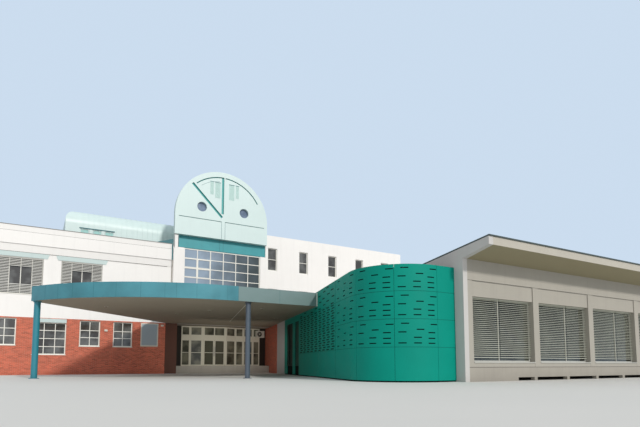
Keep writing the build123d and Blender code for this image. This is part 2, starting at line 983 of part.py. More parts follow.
with BuildPart() as nose_wall:
    step = (nose_front_angle - nose_end_angle) / nose_wall_parts
    for part_number in range(nose_wall_parts):
        arc_wall(
            nose_end_angle + part_number * step + joint_angle / 2,
            nose_end_angle + (part_number + 1) * step - joint_angle / 2,
            wall_radius,
            wall_behind_skin,
            (0, boundary_top),
        )
    panel(
        elevation(nose_y - wall_radius),
        (nose_x + panel_joint / 2, pavilion_left),
        (0, boundary_top),
        wall_behind_skin,
    )

panel_angle = (nose_front_angle - 180) / 2
slot_columns = len(slot_pattern)
slot_pitch_angle = panel_angle / slot_columns
back_panel_arc = radians(180 - nose_end_angle) * nose_radius


def tangent_plane(angle):
    """Upright plane that touches the curved nose at a compass angle."""
    bearing = radians(angle)
    place = (nose_x + nose_radius * cos(bearing), nose_y + nose_radius * sin(bearing))
    return facing(place, angle + 90)


def cut_slots(plane, place, column):
    """Cut one column of short level slots through the screen, repeated above each row joint."""
    with BuildSketch(plane.offset(2 * screen_skin)) as slots:
        for row in row_joints:
            for rise, shifted in slot_pattern[column]:
                with Locations((place + shifted * slot_shift, row + rise)):
                    Rectangle(slot_length, slot_height)
    extrude(slots.sketch, amount=-4 * screen_skin, mode=Mode.SUBTRACT)


with BuildPart() as green_screen:
    panel(
        elevation(nose_y - nose_radius),
        (nose_x + panel_joint / 2, pavilion_left),
        (screen_foot, screen_top),
        screen_skin,
    )
    for number in range(2):
        arc_wall(
            180 + number * panel_angle + joint_angle / 2,
            180 + (number + 1) * panel_angle - joint_angle / 2,
            nose_radius,
            screen_skin,
            (screen_foot, screen_top),
        )
    arc_wall(
        nose_end_angle,
        180 - joint_angle / 2,
        nose_radius,
        screen_skin,
        (screen_foot, screen_top),
    )
    panel(flank_plane, (panel_joint, flank_length), (screen_foot, screen_top), screen_skin)
    panel(boundary_plane, (-service_door_start, 0), (screen_foot, screen_top), screen_skin)
    panel(
        boundary_plane,
        (-staff_door_start, -service_door_end),
        (screen_foot, side_door_head),
        screen_skin,
    )
    panel(boundary_plane, (-screen_length, -staff_door_end), (screen_foot, side_door_head), screen_skin)
    panel(
        boundary_plane,
        (-screen_length, -service_door_start - panel_joint),
        (side_door_head + panel_joint, screen_top),
        screen_skin,
    )
    for number in range(2 * slot_columns):
        cut_slots(tangent_plane(180 + (number + 0.5) * slot_pitch_angle), 0, number % slot_columns)
    for column in range(slot_columns):
        run = (slot_columns - column - 0.5) * back_slot_pitch
        if run < back_panel_arc:
            cut_slots(tangent_plane(180 - degrees(run / nose_radius)), 0, column)
        else:
            cut_slots(flank_plane, flank_length - (run - back_panel_arc), column)

with BuildPart() as service_door_leaf:
    door_leaf_solid(
        boundary_plane,
        -service_door_end + leaf_gap,
        service_door - 2 * leaf_gap,
        side_door_head,
        1,
    )

with BuildPart() as staff_door_leaf:
    door_leaf_solid(
        boundary_plane,
        -staff_door_start - staff_door + leaf_gap,
        staff_door - 2 * leaf_gap,
        side_door_head,
        1,
    )

with BuildPart() as staff_door_sidelight:
    sidelight = (-staff_door_end, -staff_door_start - staff_door)
    frame(
        boundary_plane,
        sidelight,
        (floor_level, side_door_head),
        rails=(rail,),
        bar=door_bar,
        depth=screen_depth,
    )
    pane(boundary_plane, sidelight, (floor_level, side_door_head), bar=door_bar, depth=screen_depth)

# Link building behind the screen

inner_radius = nose_radius - boundary_wall


def link_slab(z):
    """Slab over the room behind the screen and the link to the main block."""
    inside_start = (
        nose_x - inner_radius * cos(radians(flank_angle)),
        nose_y + inner_radius * sin(radians(flank_angle)),
    )
    inside_kink = (flank_end[0] + boundary_wall / cos(radians(flank_angle)), canopy_front)
    with BuildSketch(level(z[0])) as plan:
        with BuildLine():
            CenterArc((nose_x, nose_y), inner_radius, nose_front_angle, nose_end_angle - nose_front_angle)
            Polyline(
                inside_start,
                inside_kink,
                (boundary_x(0) + wall_across, 0),
                (link_right - pavilion_wall, 0),
                (link_right - pavilion_wall, pavilion_back),
                (pavilion_left, pavilion_back),
                (pavilion_left, nose_y - inner_radius),
                (nose_x, nose_y - inner_radius),
            )
        make_face()
    extrude(plan.sketch, amount=z[1] - z[0])


with BuildPart() as link_floor:
    link_slab((0, floor_level))

with BuildPart() as link_roof:
    link_slab((link_roof_top - link_roof_thickness, link_roof_top))

with BuildPart() as link_wall:
    block((link_right - pavilion_wall, link_right), (pavilion_back, 0), (0, boundary_top))

# Canopy

canopy_centre_y = canopy_front + canopy_radius
canopy_tip_y = canopy_centre_y - sqrt(canopy_radius ** 2 - (canopy_tip_x - canopy_arc_x) ** 2)


def canopy_plan(z):
    """Outline of the canopy: a large arc, a straight front, the leaning side and a diagonal."""
    with BuildSketch(level(z)) as plan:
        with BuildLine():
            RadiusArc((canopy_tip_x, canopy_tip_y), (canopy_arc_x, canopy_front), -canopy_radius)
            Polyline(
                (canopy_arc_x, canopy_front),
                (boundary_x(canopy_front), canopy_front),
                (boundary_x(0), 0),
                (canopy_back_left, 0),
                (canopy_tip_x, canopy_tip_y),
            )
        make_face()
    return plan


with BuildPart() as canopy_deck:
    canopy = canopy_plan(canopy_soffit)
    extrude(
        offset(canopy.sketch, amount=-canopy_edge, mode=Mode.PRIVATE),
        amount=canopy_height - canopy_rim,
    )

with BuildPart() as canopy_fascia:
    canopy = canopy_plan(canopy_soffit)
    extrude(canopy.sketch, amount=canopy_height)
    extrude(
        offset(canopy.sketch, amount=-canopy_edge, mode=Mode.PRIVATE),
        amount=canopy_height,
        mode=Mode.SUBTRACT,
    )

with BuildPart() as canopy_columns:
    for place, size in (
        ((tip_column_x, tip_column_y), tip_column),
        ((front_column_x, front_column_y), front_column),
    ):
        with BuildSketch(level(0)) as ring:
            with Locations(place):
                Circle(size / 2)
        extrude(ring.sketch, amount=canopy_soffit)

# Pavilion

fall = tan(radians(pavilion_fall))
pavilion_windows = []
mullions = []
for number, share in enumerate(mullion_shares):
    left = pavilion_left + bay_start + number * bay_pitch
    pavilion_windows.append((left, left + bay_window, pavilion_sill, pavilion_head, 2, ()))
    mullions.append(left + share * bay_window)


def under_roof(y):
    """Underside of the pavilion roof at plan depth y."""
    return pavilion_junction - (y - pavilion_front) * fall


def over_roof(y):
    """Upper side of the pavilion roof's deck at plan depth y."""
    return pavilion_eave_bottom + pavilion_eave - (y - pavilion_roof_edge) * fall


def cross_wall(x, outline):
    """Wall across the pavilion with a section outline of (y, z) points."""
    with BuildSketch(section(x[0])) as profile:
        with BuildLine():
            Polyline(*outline, close=True)
        make_face()
    extrude(profile.sketch, amount=x[1] - x[0])


side_outline = (
    (pavilion_front, 0),
    (pavilion_front, pavilion_junction),
    (pavilion_roof_edge, pavilion_eave_bottom),
    (pavilion_roof_edge, over_roof(pavilion_roof_edge)),
    (pavilion_back, over_roof(pavilion_back)),
    (pavilion_back, 0),
)

with BuildPart() as pavilion_end_walls:
    cross_wall((pavilion_left, pavilion_left + pavilion_wall), side_outline)
    cross_wall((pavilion_right - pavilion_wall, pavilion_right), side_outline)

pavilion_inside = (pavilion_left + pavilion_wall, pavilion_right - pavilion_wall)
front_inner = pavilion_front + pavilion_front_thickness
back_inner = pavilion_back - pavilion_wall

with BuildPart() as pavilion_front_wall:
    cross_wall(
        pavilion_inside,
        (
            (pavilion_front, base_top),
            (pavilion_front, pavilion_junction),
            (front_inner, under_roof(front_inner)),
            (front_inner, base_top),
        ),
    )
    pierce(pavilion_windows, (pavilion_front, front_inner))
    for left, right, sill, head, columns, rails in pavilion_windows:
        block(
            (left, right),
            (pavilion_front, pavilion_front + panel_recess),
            (head, panel_top),
            Mode.SUBTRACT,
        )

with BuildPart() as pavilion_back_wall:
    cross_wall(
        pavilion_inside,
        (
            (back_inner, 0),
            (back_inner, under_roof(back_inner)),
            (pavilion_back, under_roof(pavilion_back)),
            (pavilion_back, 0),
        ),
    )
    pierce(pavilion_windows[1:], (back_inner, pavilion_back))

pavilion_frame_face = pavilion_front + pavilion_set_back

with BuildPart() as pavilion_window_frames:
    for (left, right, sill, head, columns, rails), mullion in zip(pavilion_windows, mullions):
        frame(elevation(pavilion_frame_face), (left, right), (sill, head), (mullion,))
    frames_of(pavilion_windows[1:], pavilion_back - window_set_back - frame_depth)

with BuildPart() as pavilion_window_glass:
    panes_of(pavilion_windows, pavilion_frame_face)
    panes_of(pavilion_windows[1:], pavilion_back - window_set_back - frame_depth)

pavilion_blind_face = pavilion_frame_face - blind_set_back - blind_thickness

with BuildPart() as window_blinds:
    for (left, right, sill, head, columns, rails), mullion in zip(pavilion_windows, mullions):
        for start, end in ((left, mullion - blind_gap / 2), (mullion + blind_gap / 2, right)):
            panel(elevation(pavilion_blind_face), (start, end), (blind_foot, head), blind_thickness)
    for left, right, sill, head, columns, rails in wing_upper_windows:
        panel(elevation(blind_set_back), (left, right), (sill, head), blind_thickness)

with BuildPart() as pavilion_base:
    block(pavilion_inside, (pavilion_front, front_inner), (base_bottom, base_top))
    block(
        (pavilion_inside[0], pavilion_inside[0] + solid_base),
        (pavilion_front, front_inner),
        (0, base_bottom),
    )
    place = pavilion_inside[0] + solid_base + post_pitch / 2
    while place < pavilion_inside[1]:
        block(
            (place - post / 2, place + post / 2),
            (pavilion_front, pavilion_front + post),
            (0, base_bottom),
        )
        place += post_pitch

with BuildPart() as pavilion_floor:
    block(pavilion_inside, (front_inner, back_inner), (floor_level - slab, floor_level))

with BuildPart() as pavilion_eave_deck:
    cross_wall(
        pavilion_inside,
        (
            (pavilion_roof_edge, pavilion_eave_bottom),
            (pavilion_roof_edge, over_roof(pavilion_roof_edge)),
            (pavilion_back, over_roof(pavilion_back)),
            (pavilion_back, under_roof(pavilion_back)),
            (pavilion_front, pavilion_junction),
        ),
    )

with BuildPart() as pavilion_roof:
    lip_edge = pavilion_roof_edge - roof_lip
    cross_wall(
        (pavilion_left, pavilion_right),
        (
            (lip_edge, over_roof(lip_edge)),
            (lip_edge, over_roof(lip_edge) + roof_sheet),
            (pavilion_back, over_roof(pavilion_back) + roof_sheet),
            (pavilion_back, over_roof(pavilion_back)),
        ),
    )

subparts = {
    "ground_front_wall": ground_front_wall,
    "entrance_pier": entrance_pier,
    "upper_front_wall": upper_front_wall,
    "parapet_front": parapet_front,
    "end_walls": end_walls,
    "back_walls": back_walls,
    "window_frames": window_frames,
    "window_glass": window_glass,
    "window_lintels": window_lintels,
    "closed_shutter": closed_shutter,
    "window_blinds": window_blinds,
    "ground_floors": ground_floors,
    "upper_floors": upper_floors,
    "flat_roofs": flat_roofs,
    "penthouse": penthouse,
    "penthouse_windows": penthouse_windows,
    "tower_gable": tower_gable,
    "porthole_glass": porthole_glass,
    "tower_band": tower_band,
    "tower_front_wall": tower_front_wall,
    "curtain_wall_frame": curtain_wall_frame,
    "curtain_wall_glass": curtain_wall_glass,
    "tower_side_walls": tower_side_walls,
    "vault_roof": vault_roof,
    "main_ground_wall": main_ground_wall,
    "main_front_wall": main_front_wall,
    "entrance_screen_left": entrance_screen_left,
    "entrance_screen_right": entrance_screen_right,
    "entrance_transom": entrance_transom,
    "entrance_glass": entrance_glass,
    "recess_side_panels": recess_side_panels,
    "entrance_door_left": entrance_door_left,
    "entrance_door_right": entrance_door_right,
    "air_conditioner": air_conditioner,
    "brick_return_wall": brick_return_wall,
    "plaster_wall": plaster_wall,
    "flank_wall": flank_wall,
    "doorway_piers": doorway_piers,
    "doorway_beams": doorway_beams,
    "nose_wall": nose_wall,
    "green_screen": green_screen,
    "service_door": service_door_leaf,
    "staff_door": staff_door_leaf,
    "staff_door_sidelight": staff_door_sidelight,
    "link_floor": link_floor,
    "link_roof": link_roof,
    "link_wall": link_wall,
    "canopy_deck": canopy_deck,
    "canopy_fascia": canopy_fascia,
    "canopy_columns": canopy_columns,
    "pavilion_end_walls": pavilion_end_walls,
    "pavilion_front_wall": pavilion_front_wall,
    "pavilion_back_wall": pavilion_back_wall,
    "pavilion_window_frames": pavilion_window_frames,
    "pavilion_window_glass": pavilion_window_glass,
    "pavilion_base": pavilion_base,
    "pavilion_floor": pavilion_floor,
    "pavilion_eave_deck": pavilion_eave_deck,
    "pavilion_roof": pavilion_roof,
}

for name, subpart in subparts.items():
    subpart.part.label = name
    export_step(subpart.part, f"parts/{name}.step")
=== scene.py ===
import math
import random

import bpy
from mathutils import Color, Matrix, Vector


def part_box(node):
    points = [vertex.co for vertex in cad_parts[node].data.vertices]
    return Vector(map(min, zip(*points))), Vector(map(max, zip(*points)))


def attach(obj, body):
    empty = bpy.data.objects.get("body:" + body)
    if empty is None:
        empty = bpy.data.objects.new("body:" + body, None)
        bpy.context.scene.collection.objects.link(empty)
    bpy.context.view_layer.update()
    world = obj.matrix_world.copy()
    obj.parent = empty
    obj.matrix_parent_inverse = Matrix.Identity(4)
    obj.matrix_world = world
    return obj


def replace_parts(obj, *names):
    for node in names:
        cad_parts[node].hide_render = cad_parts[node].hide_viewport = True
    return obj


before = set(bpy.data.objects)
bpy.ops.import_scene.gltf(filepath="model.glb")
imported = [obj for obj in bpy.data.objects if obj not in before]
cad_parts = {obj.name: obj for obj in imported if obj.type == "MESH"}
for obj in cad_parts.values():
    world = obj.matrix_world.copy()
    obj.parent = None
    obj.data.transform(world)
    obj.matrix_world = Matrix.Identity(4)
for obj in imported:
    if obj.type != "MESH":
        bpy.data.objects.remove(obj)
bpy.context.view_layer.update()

# Looks of a medical clinic: brick and render wing, arched mint tower, curved canopy,
# slotted green screen and a pavilion with blinds. Metres, +Z up, in the frame of the CAD model.

draw = random.Random(7)
BODY = "building"
RIGHT = Vector((1, 0, 0))
INWARD = Vector((0, 1, 0))
UP = Vector((0, 0, 1))

# Camera: low eye on the forecourt, given from the tower's axis and the facade
EYE_RIGHT = -13.08
EYE_IN = -38.20
EYE_HEIGHT = 0.70
HEADING = 30.57
PITCH = 4.99
FOCAL_PIXELS = 484.0
PHOTO_WIDTH = 640
SENSOR = 36.0
LENS_SHIFT = 0.17
VIEW_REACH = 1000
FLOOR_REACH = 400

# Light: lamps with strength, direction and tint, and the sky
SKY_LIGHT = 0.62
SKY_TINT = (0.93, 0.97, 1.0, 1.0)
SKY_SHOWN = (0.60, 0.72, 0.86, 1.0)
SUN = (2.0, (-0.12, 1.0, -0.62), (1.0, 0.965, 0.91))
SUN_ANGLE = 5.0
FILL = (0.35, (0.50, 0.84, -0.12), (1.0, 0.99, 0.97))
FILL_ANGLE = 60.0
PORCH = (65.0, (0.12, 1.0, 0.0), (1.0, 0.98, 0.92))
PORCH_SPREAD = 75.0
PORCH_SIZE = (6.5, 1.8)
PORCH_PLACE = (-0.9, -7.5, 1.9)

# Slotted screen: joints between its rows of panels, and the slots of its rear part
ROW_JOINTS = (1.39, 2.51, 3.63)
SCREEN_FOOT = 0.06
SCREEN_RIM = 0.05
SCREEN_SKIN = 0.04
JOINT = 0.010
SHEET = 0.006
SLOT_LENGTH = 0.52
SLOT_HEIGHT = 0.058
SLOT_ROW = 0.118
SLOT_COLUMN = 0.87
SLOT_SHIFT = 0.08


# Shapes

BOX_FACES = ((0, 3, 2, 1), (4, 5, 6, 7), (0, 1, 5, 4), (1, 2, 6, 5), (2, 3, 7, 6), (3, 0, 4, 7))
OPEN_BACK_FACES = BOX_FACES[:4] + BOX_FACES[5:]
STEEP = 0.9


def direction_at(path, index):
    """Direction of a path at one of its points."""
    before = path[max(index - 1, 0)]
    after = path[min(index + 1, len(path) - 1)]
    return (after - before).normalized()


def arc_points(centre, first, second, radius, start, end, steps):
    """Points on an arc; angles in degrees run from the first direction to the second."""
    points = []
    for step in range(steps + 1):
        turn = math.radians(start + (end - start) * step / steps)
        points.append(centre + radius * (math.cos(turn) * first + math.sin(turn) * second))
    return points


def spaced(start, end, pitch):
    """Values from start to end in equal steps of about a pitch."""
    count = round((end - start) / pitch)
    return [start + (end - start) * number / count for number in range(count + 1)]


class Shape:
    """Vertices and faces collected for one piece, with a tone for each face."""

    def __init__(self):
        self.points = []
        self.faces = []
        self.tones = []

    def add(self, points, faces, tone=0.5):
        start = len(self.points)
        self.points.extend(points)
        for face in faces:
            self.faces.append([start + index for index in face])
            self.tones.append(tone)

    def sweep(self, rings, tone=0.5):
        """Skin over rings of equally many points, capped at both ends."""
        sides = len(rings[0])
        last = (len(rings) - 1) * sides
        faces = [list(range(sides))[::-1], list(range(last, last + sides))]
        for low in range(0, last, sides):
            for side in range(sides):
                after = (side + 1) % sides
                faces.append([low + side, low + after, low + sides + after, low + sides + side])
        self.add([point for ring in rings for point in ring], faces, tone)

    def prism(self, ring, depth, tone=0.5):
        """Closed ring of points, pushed along a vector."""
        self.sweep([ring, [point + depth for point in ring]], tone)

    def tube(self, path, radius, sides=12):
        """Round bar along a path of points."""
        rings = []
        for index, point in enumerate(path):
            direction = direction_at(path, index)
            across = direction.orthogonal().normalized()
            if abs(direction.z) < STEEP:
                across = direction.cross(UP).normalized()
            rings.append(arc_points(point, across, direction.cross(across), radius, 0, 360, sides)[:-1])
        self.sweep(rings)

    def strip(self, path, across, width, rise):
        """Square bar along a path: width across it, and rise to its own left side."""
        rings = []
        for index, point in enumerate(path):
            out = direction_at(path, index).cross(across)
            rings.append([point + side * width * across + height * rise * out
                          for side, height in ((-0.5, 0), (0.5, 0), (0.5, 1), (-0.5, 1))])
        self.sweep(rings)


class Wall:
    """Upright plane: a start point, a direction along it and the direction out of it."""

    def __init__(self, start, along=RIGHT):
        self.start = Vector((*start[:2], 0))
        self.along = along.normalized()
        self.out = self.along.cross(UP)

    def block(self, shape, run, proud, height, tone=0.5, faces=BOX_FACES):
        """Box on the wall between two runs, two distances out of it and two heights."""
        ring = ((run[0], proud[1]), (run[1], proud[1]), (run[1], proud[0]), (run[0], proud[0]))
        points = [self.start + a * self.along + b * self.out + z * UP for z in height for a, b in ring]
        shape.add(points, faces, tone)


def around(middle, half):
    """Stretch to both sides of a value."""
    return (middle - half, middle + half)


def add_object(name, data):
    """Object in the scene for a mesh, a light or a camera."""
    made = bpy.data.objects.new(name, data)
    bpy.context.scene.collection.objects.link(made)
    return made


def piece(name, shape, look, body=BODY):
    """Object from a shape, on a body, with its material and the slot of its finish."""
    mesh = bpy.data.meshes.new(name)
    mesh.from_pydata([tuple(point) for point in shape.points], [], shape.faces)
    tone = mesh.attributes.new("tone", "FLOAT", "FACE")
    tone.data.foreach_set("value", shape.tones)
    mesh.materials.append(looks[look])
    mesh.update()
    made = add_object(name, mesh)
    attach(made, body)
    return made


def islands(name):
    """Boxes of the separate solids in a CAD node, each as its lowest and highest corner."""
    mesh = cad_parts[name].data
    places = [tuple(round(value, 4) for value in vertex.co) for vertex in mesh.vertices]
    groups = []
    for polygon in mesh.polygons:
        group = {places[index] for index in polygon.vertices}
        apart = [other for other in groups if not other & group]
        touching = [other for other in groups if other & group]
        groups = apart + [group.union(*touching)]
    corners = [list(zip(*group)) for group in groups]
    boxes = [(Vector(map(min, values)), Vector(map(max, values))) for values in corners]
    return sorted(boxes, key=lambda box: tuple(box[0]))


# Nodes of a material

def fill(tree, made, inputs):
    """Sets a node's inputs, each to a value or to another node's output."""
    for key, value in inputs.items():
        socket = made.inputs[key]
        if isinstance(value, bpy.types.NodeSocket):
            tree.links.new(value, socket)
        else:
            socket.default_value = value


def node(tree, kind, inputs, **settings):
    """New node with its settings and inputs."""
    made = tree.nodes.new("ShaderNode" + kind)
    for key, value in settings.items():
        setattr(made, key, value)
    fill(tree, made, inputs)
    return made


def maths(tree, operation, first, second=0.0, third=0.0, clamp=False):
    inputs = {0: first, 1: second, 2: third}
    return node(tree, "Math", inputs, operation=operation, use_clamp=clamp).outputs[0]


def times(tree, first, *others, clamp=False):
    """Product of values or masks."""
    for other in others:
        first = maths(tree, "MULTIPLY", first, other, clamp=clamp)
    return first


def minus(tree, first, second, clamp=False):
    return maths(tree, "SUBTRACT", first, second, clamp=clamp)


def distance(tree, first, second):
    """Distance from zero of two coordinates."""
    return maths(tree, "SQRT", maths(tree, "MULTIPLY_ADD", first, first, times(tree, second, second)))


def between(tree, value, low, high):
    """Mask of a value between two limits."""
    return times(tree, maths(tree, "GREATER_THAN", value, low), maths(tree, "LESS_THAN", value, high))


def along(tree, place, direction):
    """Coordinate of a place along a direction."""
    inputs = {0: place, 1: tuple(direction)}
    return node(tree, "VectorMath", inputs, operation="DOT_PRODUCT").outputs["Value"]


def noise(tree, place, size, detail=3.0, stretch=(1, 1, 1)):
    """Noise from 0 to 1 with patches of about the given size in metres."""
    mapped = node(tree, "Mapping", {"Vector": place, "Scale": stretch}).outputs[0]
    inputs = {"Vector": mapped, "Scale": 1.0 / size, "Detail": detail}
    return node(tree, "TexNoise", inputs).outputs["Fac"]


def blend(tree, factor, first, second):
    """Colour between two colours."""
    return node(tree, "Mix", {0: factor, 6: first, 7: second}, data_type="RGBA").outputs[2]


def colour(*channels):
    """Linear colour from display values of 0 to 255."""
    return (*Color([value / 255 for value in channels]).from_srgb_to_scene_linear(), 1.0)


def shade(base, factor):
    return (*(value * factor for value in base[:3]), 1.0)


looks = {}


def begin(name, on):
    """New material in looks and on CAD nodes; gives its tree, its shader and the place on a piece."""
    made = bpy.data.materials.new(name)
    looks[name] = made
    for part in on.split():
        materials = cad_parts[part].data.materials
        materials.clear()
        materials.append(made)
    made.use_nodes = True
    tree = made.node_tree
    place = node(tree, "TexCoord", {}).outputs["Object"]
    return tree, tree.nodes["Principled BSDF"], place


DARK_TONE = 0.35
STREAK_WIDTH = 0.22
STREAK_STRETCH = (1, 1, 0.06)
STREAK_CONTRAST = 4
STREAK_SHADE = 0.62
FOOT_HEIGHT = 0.7
FOOT_SHADE = 0.45
POLISH_RANGE = 0.16
BULGE_SIZE = 0.9
BULGE_DEPTH = 0.05


def surface(name, base, rough=0.45, mottle=0.04, depth=0.05, grain=0.003, metal=0.0, shine=0.5,
            patch=1.2, streak=0.0, sheet=0.0, foot=0.0, tones=0.0, bands=(), inlay=None, on=""):
    """Finish with mottled colour, rain streaks, a darker foot, fine grain and sheet unevenness.

    bands gives heights with the share of the colour above each of them. The argument after bands
    is a function that gives a mask, with the colour and roughness inside it; besides panes and
    parts of other colours, it paints shade into the gable's grooves, the screen's slots and the
    tower's walls under the canopy. on names CAD nodes that have the finish. The defaults suit
    painted metal."""
    tree, shader, place = begin(name, on)
    # Mottle: wear, and on the canopy's fascia, with its strong broad patches, painted reflections.
    wear_and_sheen = noise(tree, place, patch, 4.0)
    tint = blend(tree, wear_and_sheen, shade(base, 1 - mottle), shade(base, 1 + mottle))
    fine = noise(tree, place, grain * 4, 2.0)
    tint = blend(tree, times(tree, fine, mottle), tint, shade(base, 1 - 2 * mottle))
    if tones:
        tone = node(tree, "Attribute", {}, attribute_name="tone").outputs["Fac"]
        darker = times(tree, minus(tree, 1.0, tone), tones, clamp=True)
        tint = blend(tree, darker, tint, shade(base, DARK_TONE))
    for height, share in bands:
        tint = blend(tree, beyond(UP, height)(tree, place), tint, shade(base, share))
    if streak:
        run = noise(tree, place, STREAK_WIDTH, 3.0, STREAK_STRETCH)
        marks = times(tree, minus(tree, run, 0.5, clamp=True), STREAK_CONTRAST * streak, clamp=True)
        tint = blend(tree, marks, tint, shade(base, STREAK_SHADE))
    if foot:
        risen = maths(tree, "DIVIDE", along(tree, place, UP), FOOT_HEIGHT)
        low = minus(tree, 1.0, risen, clamp=True)
        low = times(tree, low, low, foot, clamp=True)
        tint = blend(tree, low, tint, shade(base, FOOT_SHADE))
    polish = maths(tree, "MULTIPLY_ADD", wear_and_sheen, POLISH_RANGE, rough - POLISH_RANGE / 2, clamp=True)
    if inlay:
        mask, inner, inner_rough = inlay
        inside = mask(tree, place)
        tint = blend(tree, inside, tint, inner)
        polish = maths(tree, "ADD", polish, times(tree, inside, inner_rough - rough), clamp=True)
    bump = node(tree, "Bump", {"Height": fine, "Strength": depth, "Distance": grain})
    if sheet:
        bulge = noise(tree, place, BULGE_SIZE, 1.0)
        inputs = {"Height": bulge, "Strength": sheet, "Distance": BULGE_DEPTH, "Normal": bump.outputs[0]}
        bump = node(tree, "Bump", inputs)
    fill(tree, shader, {"Base Color": tint, "Roughness": polish, "Normal": bump.outputs[0],
                        "Metallic": metal, "Specular IOR Level": shine})


PATCH_FLOOR = 0.38
PATCH_CONTRAST = 4.0
SWEEP_PATCHES = 0.35
SWEEP_REFLECTION = 1.2
SWEEP_REST = 0.15
RIPPLE_SIZE = 0.5
RIPPLE = 0.05
RIPPLE_DEPTH = 0.02
GLASS_POLISH = 0.02
GLASS_SHINE = 0.7
GLASS_IOR = 1.5


def glazing(name, base, reflected, patch, rough=0.06, sweep=None, on=""):
    """Dark glass with soft patches of a second colour, painted as reflections on it.

    sweep is a stretch of x over which the second colour fades out."""
    tree, shader, place = begin(name, on)
    # depth is the share of the painted reflection.
    depth = minus(tree, noise(tree, place, patch), PATCH_FLOOR)
    depth = times(tree, depth, PATCH_CONTRAST, clamp=True)
    if sweep:
        rest = minus(tree, sweep[1], along(tree, place, RIGHT))
        share = maths(tree, "DIVIDE", rest, sweep[1] - sweep[0], clamp=True)
        depth = maths(tree, "ADD", times(tree, depth, SWEEP_PATCHES), times(tree, share, SWEEP_REFLECTION))
        depth = times(tree, depth, maths(tree, "ADD", share, SWEEP_REST), clamp=True)
    ripple = noise(tree, place, RIPPLE_SIZE, 1.0)
    polish = maths(tree, "MULTIPLY_ADD", ripple, RIPPLE, rough - GLASS_POLISH)
    bump = node(tree, "Bump", {"Height": ripple, "Strength": RIPPLE, "Distance": RIPPLE_DEPTH})
    fill(tree, shader, {"Base Color": blend(tree, depth, base, reflected), "Roughness": polish,
                        "Normal": bump.outputs[0], "IOR": GLASS_IOR, "Specular IOR Level": GLASS_SHINE})


def layer(point, normal, half):
    """Mask of a layer around a plane, such as a pane inside its frame."""
    def mask(tree, place):
        return between(tree, along(tree, place, normal), *around(point.dot(normal), half))
    return mask


def beyond(direction, value, side=1):
    """Mask of what lies past a value along a direction, or short of it where side is -1."""
    def mask(tree, place):
        operation = "GREATER_THAN" if side > 0 else "LESS_THAN"
        return maths(tree, operation, along(tree, place, direction), value)
    return mask


# Places taken from the CAD model

gable_low, gable_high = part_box("tower_gable")
axis = (gable_low.x + gable_high.x) / 2
tower_radius = (gable_high.x - gable_low.x) / 2
tower_left = axis - tower_radius
spring = gable_high.z - tower_radius
gable_face = gable_low.y
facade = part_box("upper_front_wall")[0].y
upper_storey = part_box("upper_front_wall")[0].z
COPING_LAP = 0.02
wing_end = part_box("end_walls")[0].x + COPING_LAP
main_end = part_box("end_walls")[1].x - COPING_LAP
range_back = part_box("back_walls")[1].y - COPING_LAP
fascia_low, fascia_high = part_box("canopy_fascia")
soffit = fascia_low.z
canopy_top = fascia_high.z
canopy_front = fascia_low.y
CANOPY_ARC_X = -4.31
parapet_low, parapet_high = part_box("parapet_front")
cornice_bottom = parapet_low.z
wall_top = parapet_high.z
CORNICE_HEIGHT = 0.55
FASCIA_HEIGHT = 0.87
COPING = 0.05
cornice_top = cornice_bottom + CORNICE_HEIGHT
fascia_top = cornice_top + FASCIA_HEIGHT
eave_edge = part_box("pavilion_eave_deck")[0].y


def plan(x, y, z=0.0):
    """Point from its distance right of the tower's axis and into the building from the facade."""
    return Vector((axis + x, facade + y, z))


# Grooves of the gable: the field that they lie in, and the portholes left out of it
FIELD_RADIUS = 3.53
FIELD_MARGIN = 0.16
GROOVE_DEPTH = 0.12
PORTHOLE_REACH = 1.81
PORTHOLE_RISE = 0.76
PORTHOLE_CLEAR = 0.44
MASK_CLEAR = 0.01


def painted_groove_shade(tree, place):
    """Mask of the sides and bottoms of the gable's grooves, where a darker teal is painted as shade."""
    x, y, z = node(tree, "SeparateXYZ", {0: place}).outputs
    across = maths(tree, "ABSOLUTE", minus(tree, x, axis))
    rise = minus(tree, z, spring)
    field = distance(tree, across, maths(tree, "MAXIMUM", rise, 0.0))
    field = maths(tree, "LESS_THAN", field, FIELD_RADIUS + FIELD_MARGIN)
    away = distance(tree, minus(tree, across, PORTHOLE_REACH), minus(tree, rise, PORTHOLE_RISE))
    away = maths(tree, "GREATER_THAN", away, PORTHOLE_CLEAR)
    face = gable_face + MASK_CLEAR
    return times(tree, field, away, between(tree, y, face, face + GROOVE_DEPTH))


# Boundary wall and flank of the screen: both lean away to the right, and meet at the canopy
BOUNDARY_ANGLE = math.radians(15)
FLANK_ANGLE = math.radians(16.8)
BOUNDARY_WALL = 0.25
NOSE_RADIUS = 2.35
SKIN_CLEAR = 0.007
boundary_along = Vector((-math.sin(BOUNDARY_ANGLE), -math.cos(BOUNDARY_ANGLE), 0))
flank_along = Vector((-math.sin(FLANK_ANGLE), -math.cos(FLANK_ANGLE), 0))
return_low, return_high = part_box("brick_return_wall")
return_front = Vector((return_low.x, return_low.y + BOUNDARY_WALL * math.sin(BOUNDARY_ANGLE), 0))
return_length = (return_high.y - return_front.y) / math.cos(BOUNDARY_ANGLE)
return_wall = Wall(return_front - return_length * boundary_along, boundary_along)
kink = return_front + boundary_along * (return_front.y - canopy_front) / math.cos(BOUNDARY_ANGLE)
screen_low, screen_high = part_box("green_screen")
nose_centre = Vector((screen_low.x + NOSE_RADIUS, screen_low.y + NOSE_RADIUS, 0))
flank = Wall(kink, flank_along)
boundary = Wall(kink, boundary_along)
flank_end = nose_centre + NOSE_RADIUS * flank.out
flank_length = (flank_end - kink).length


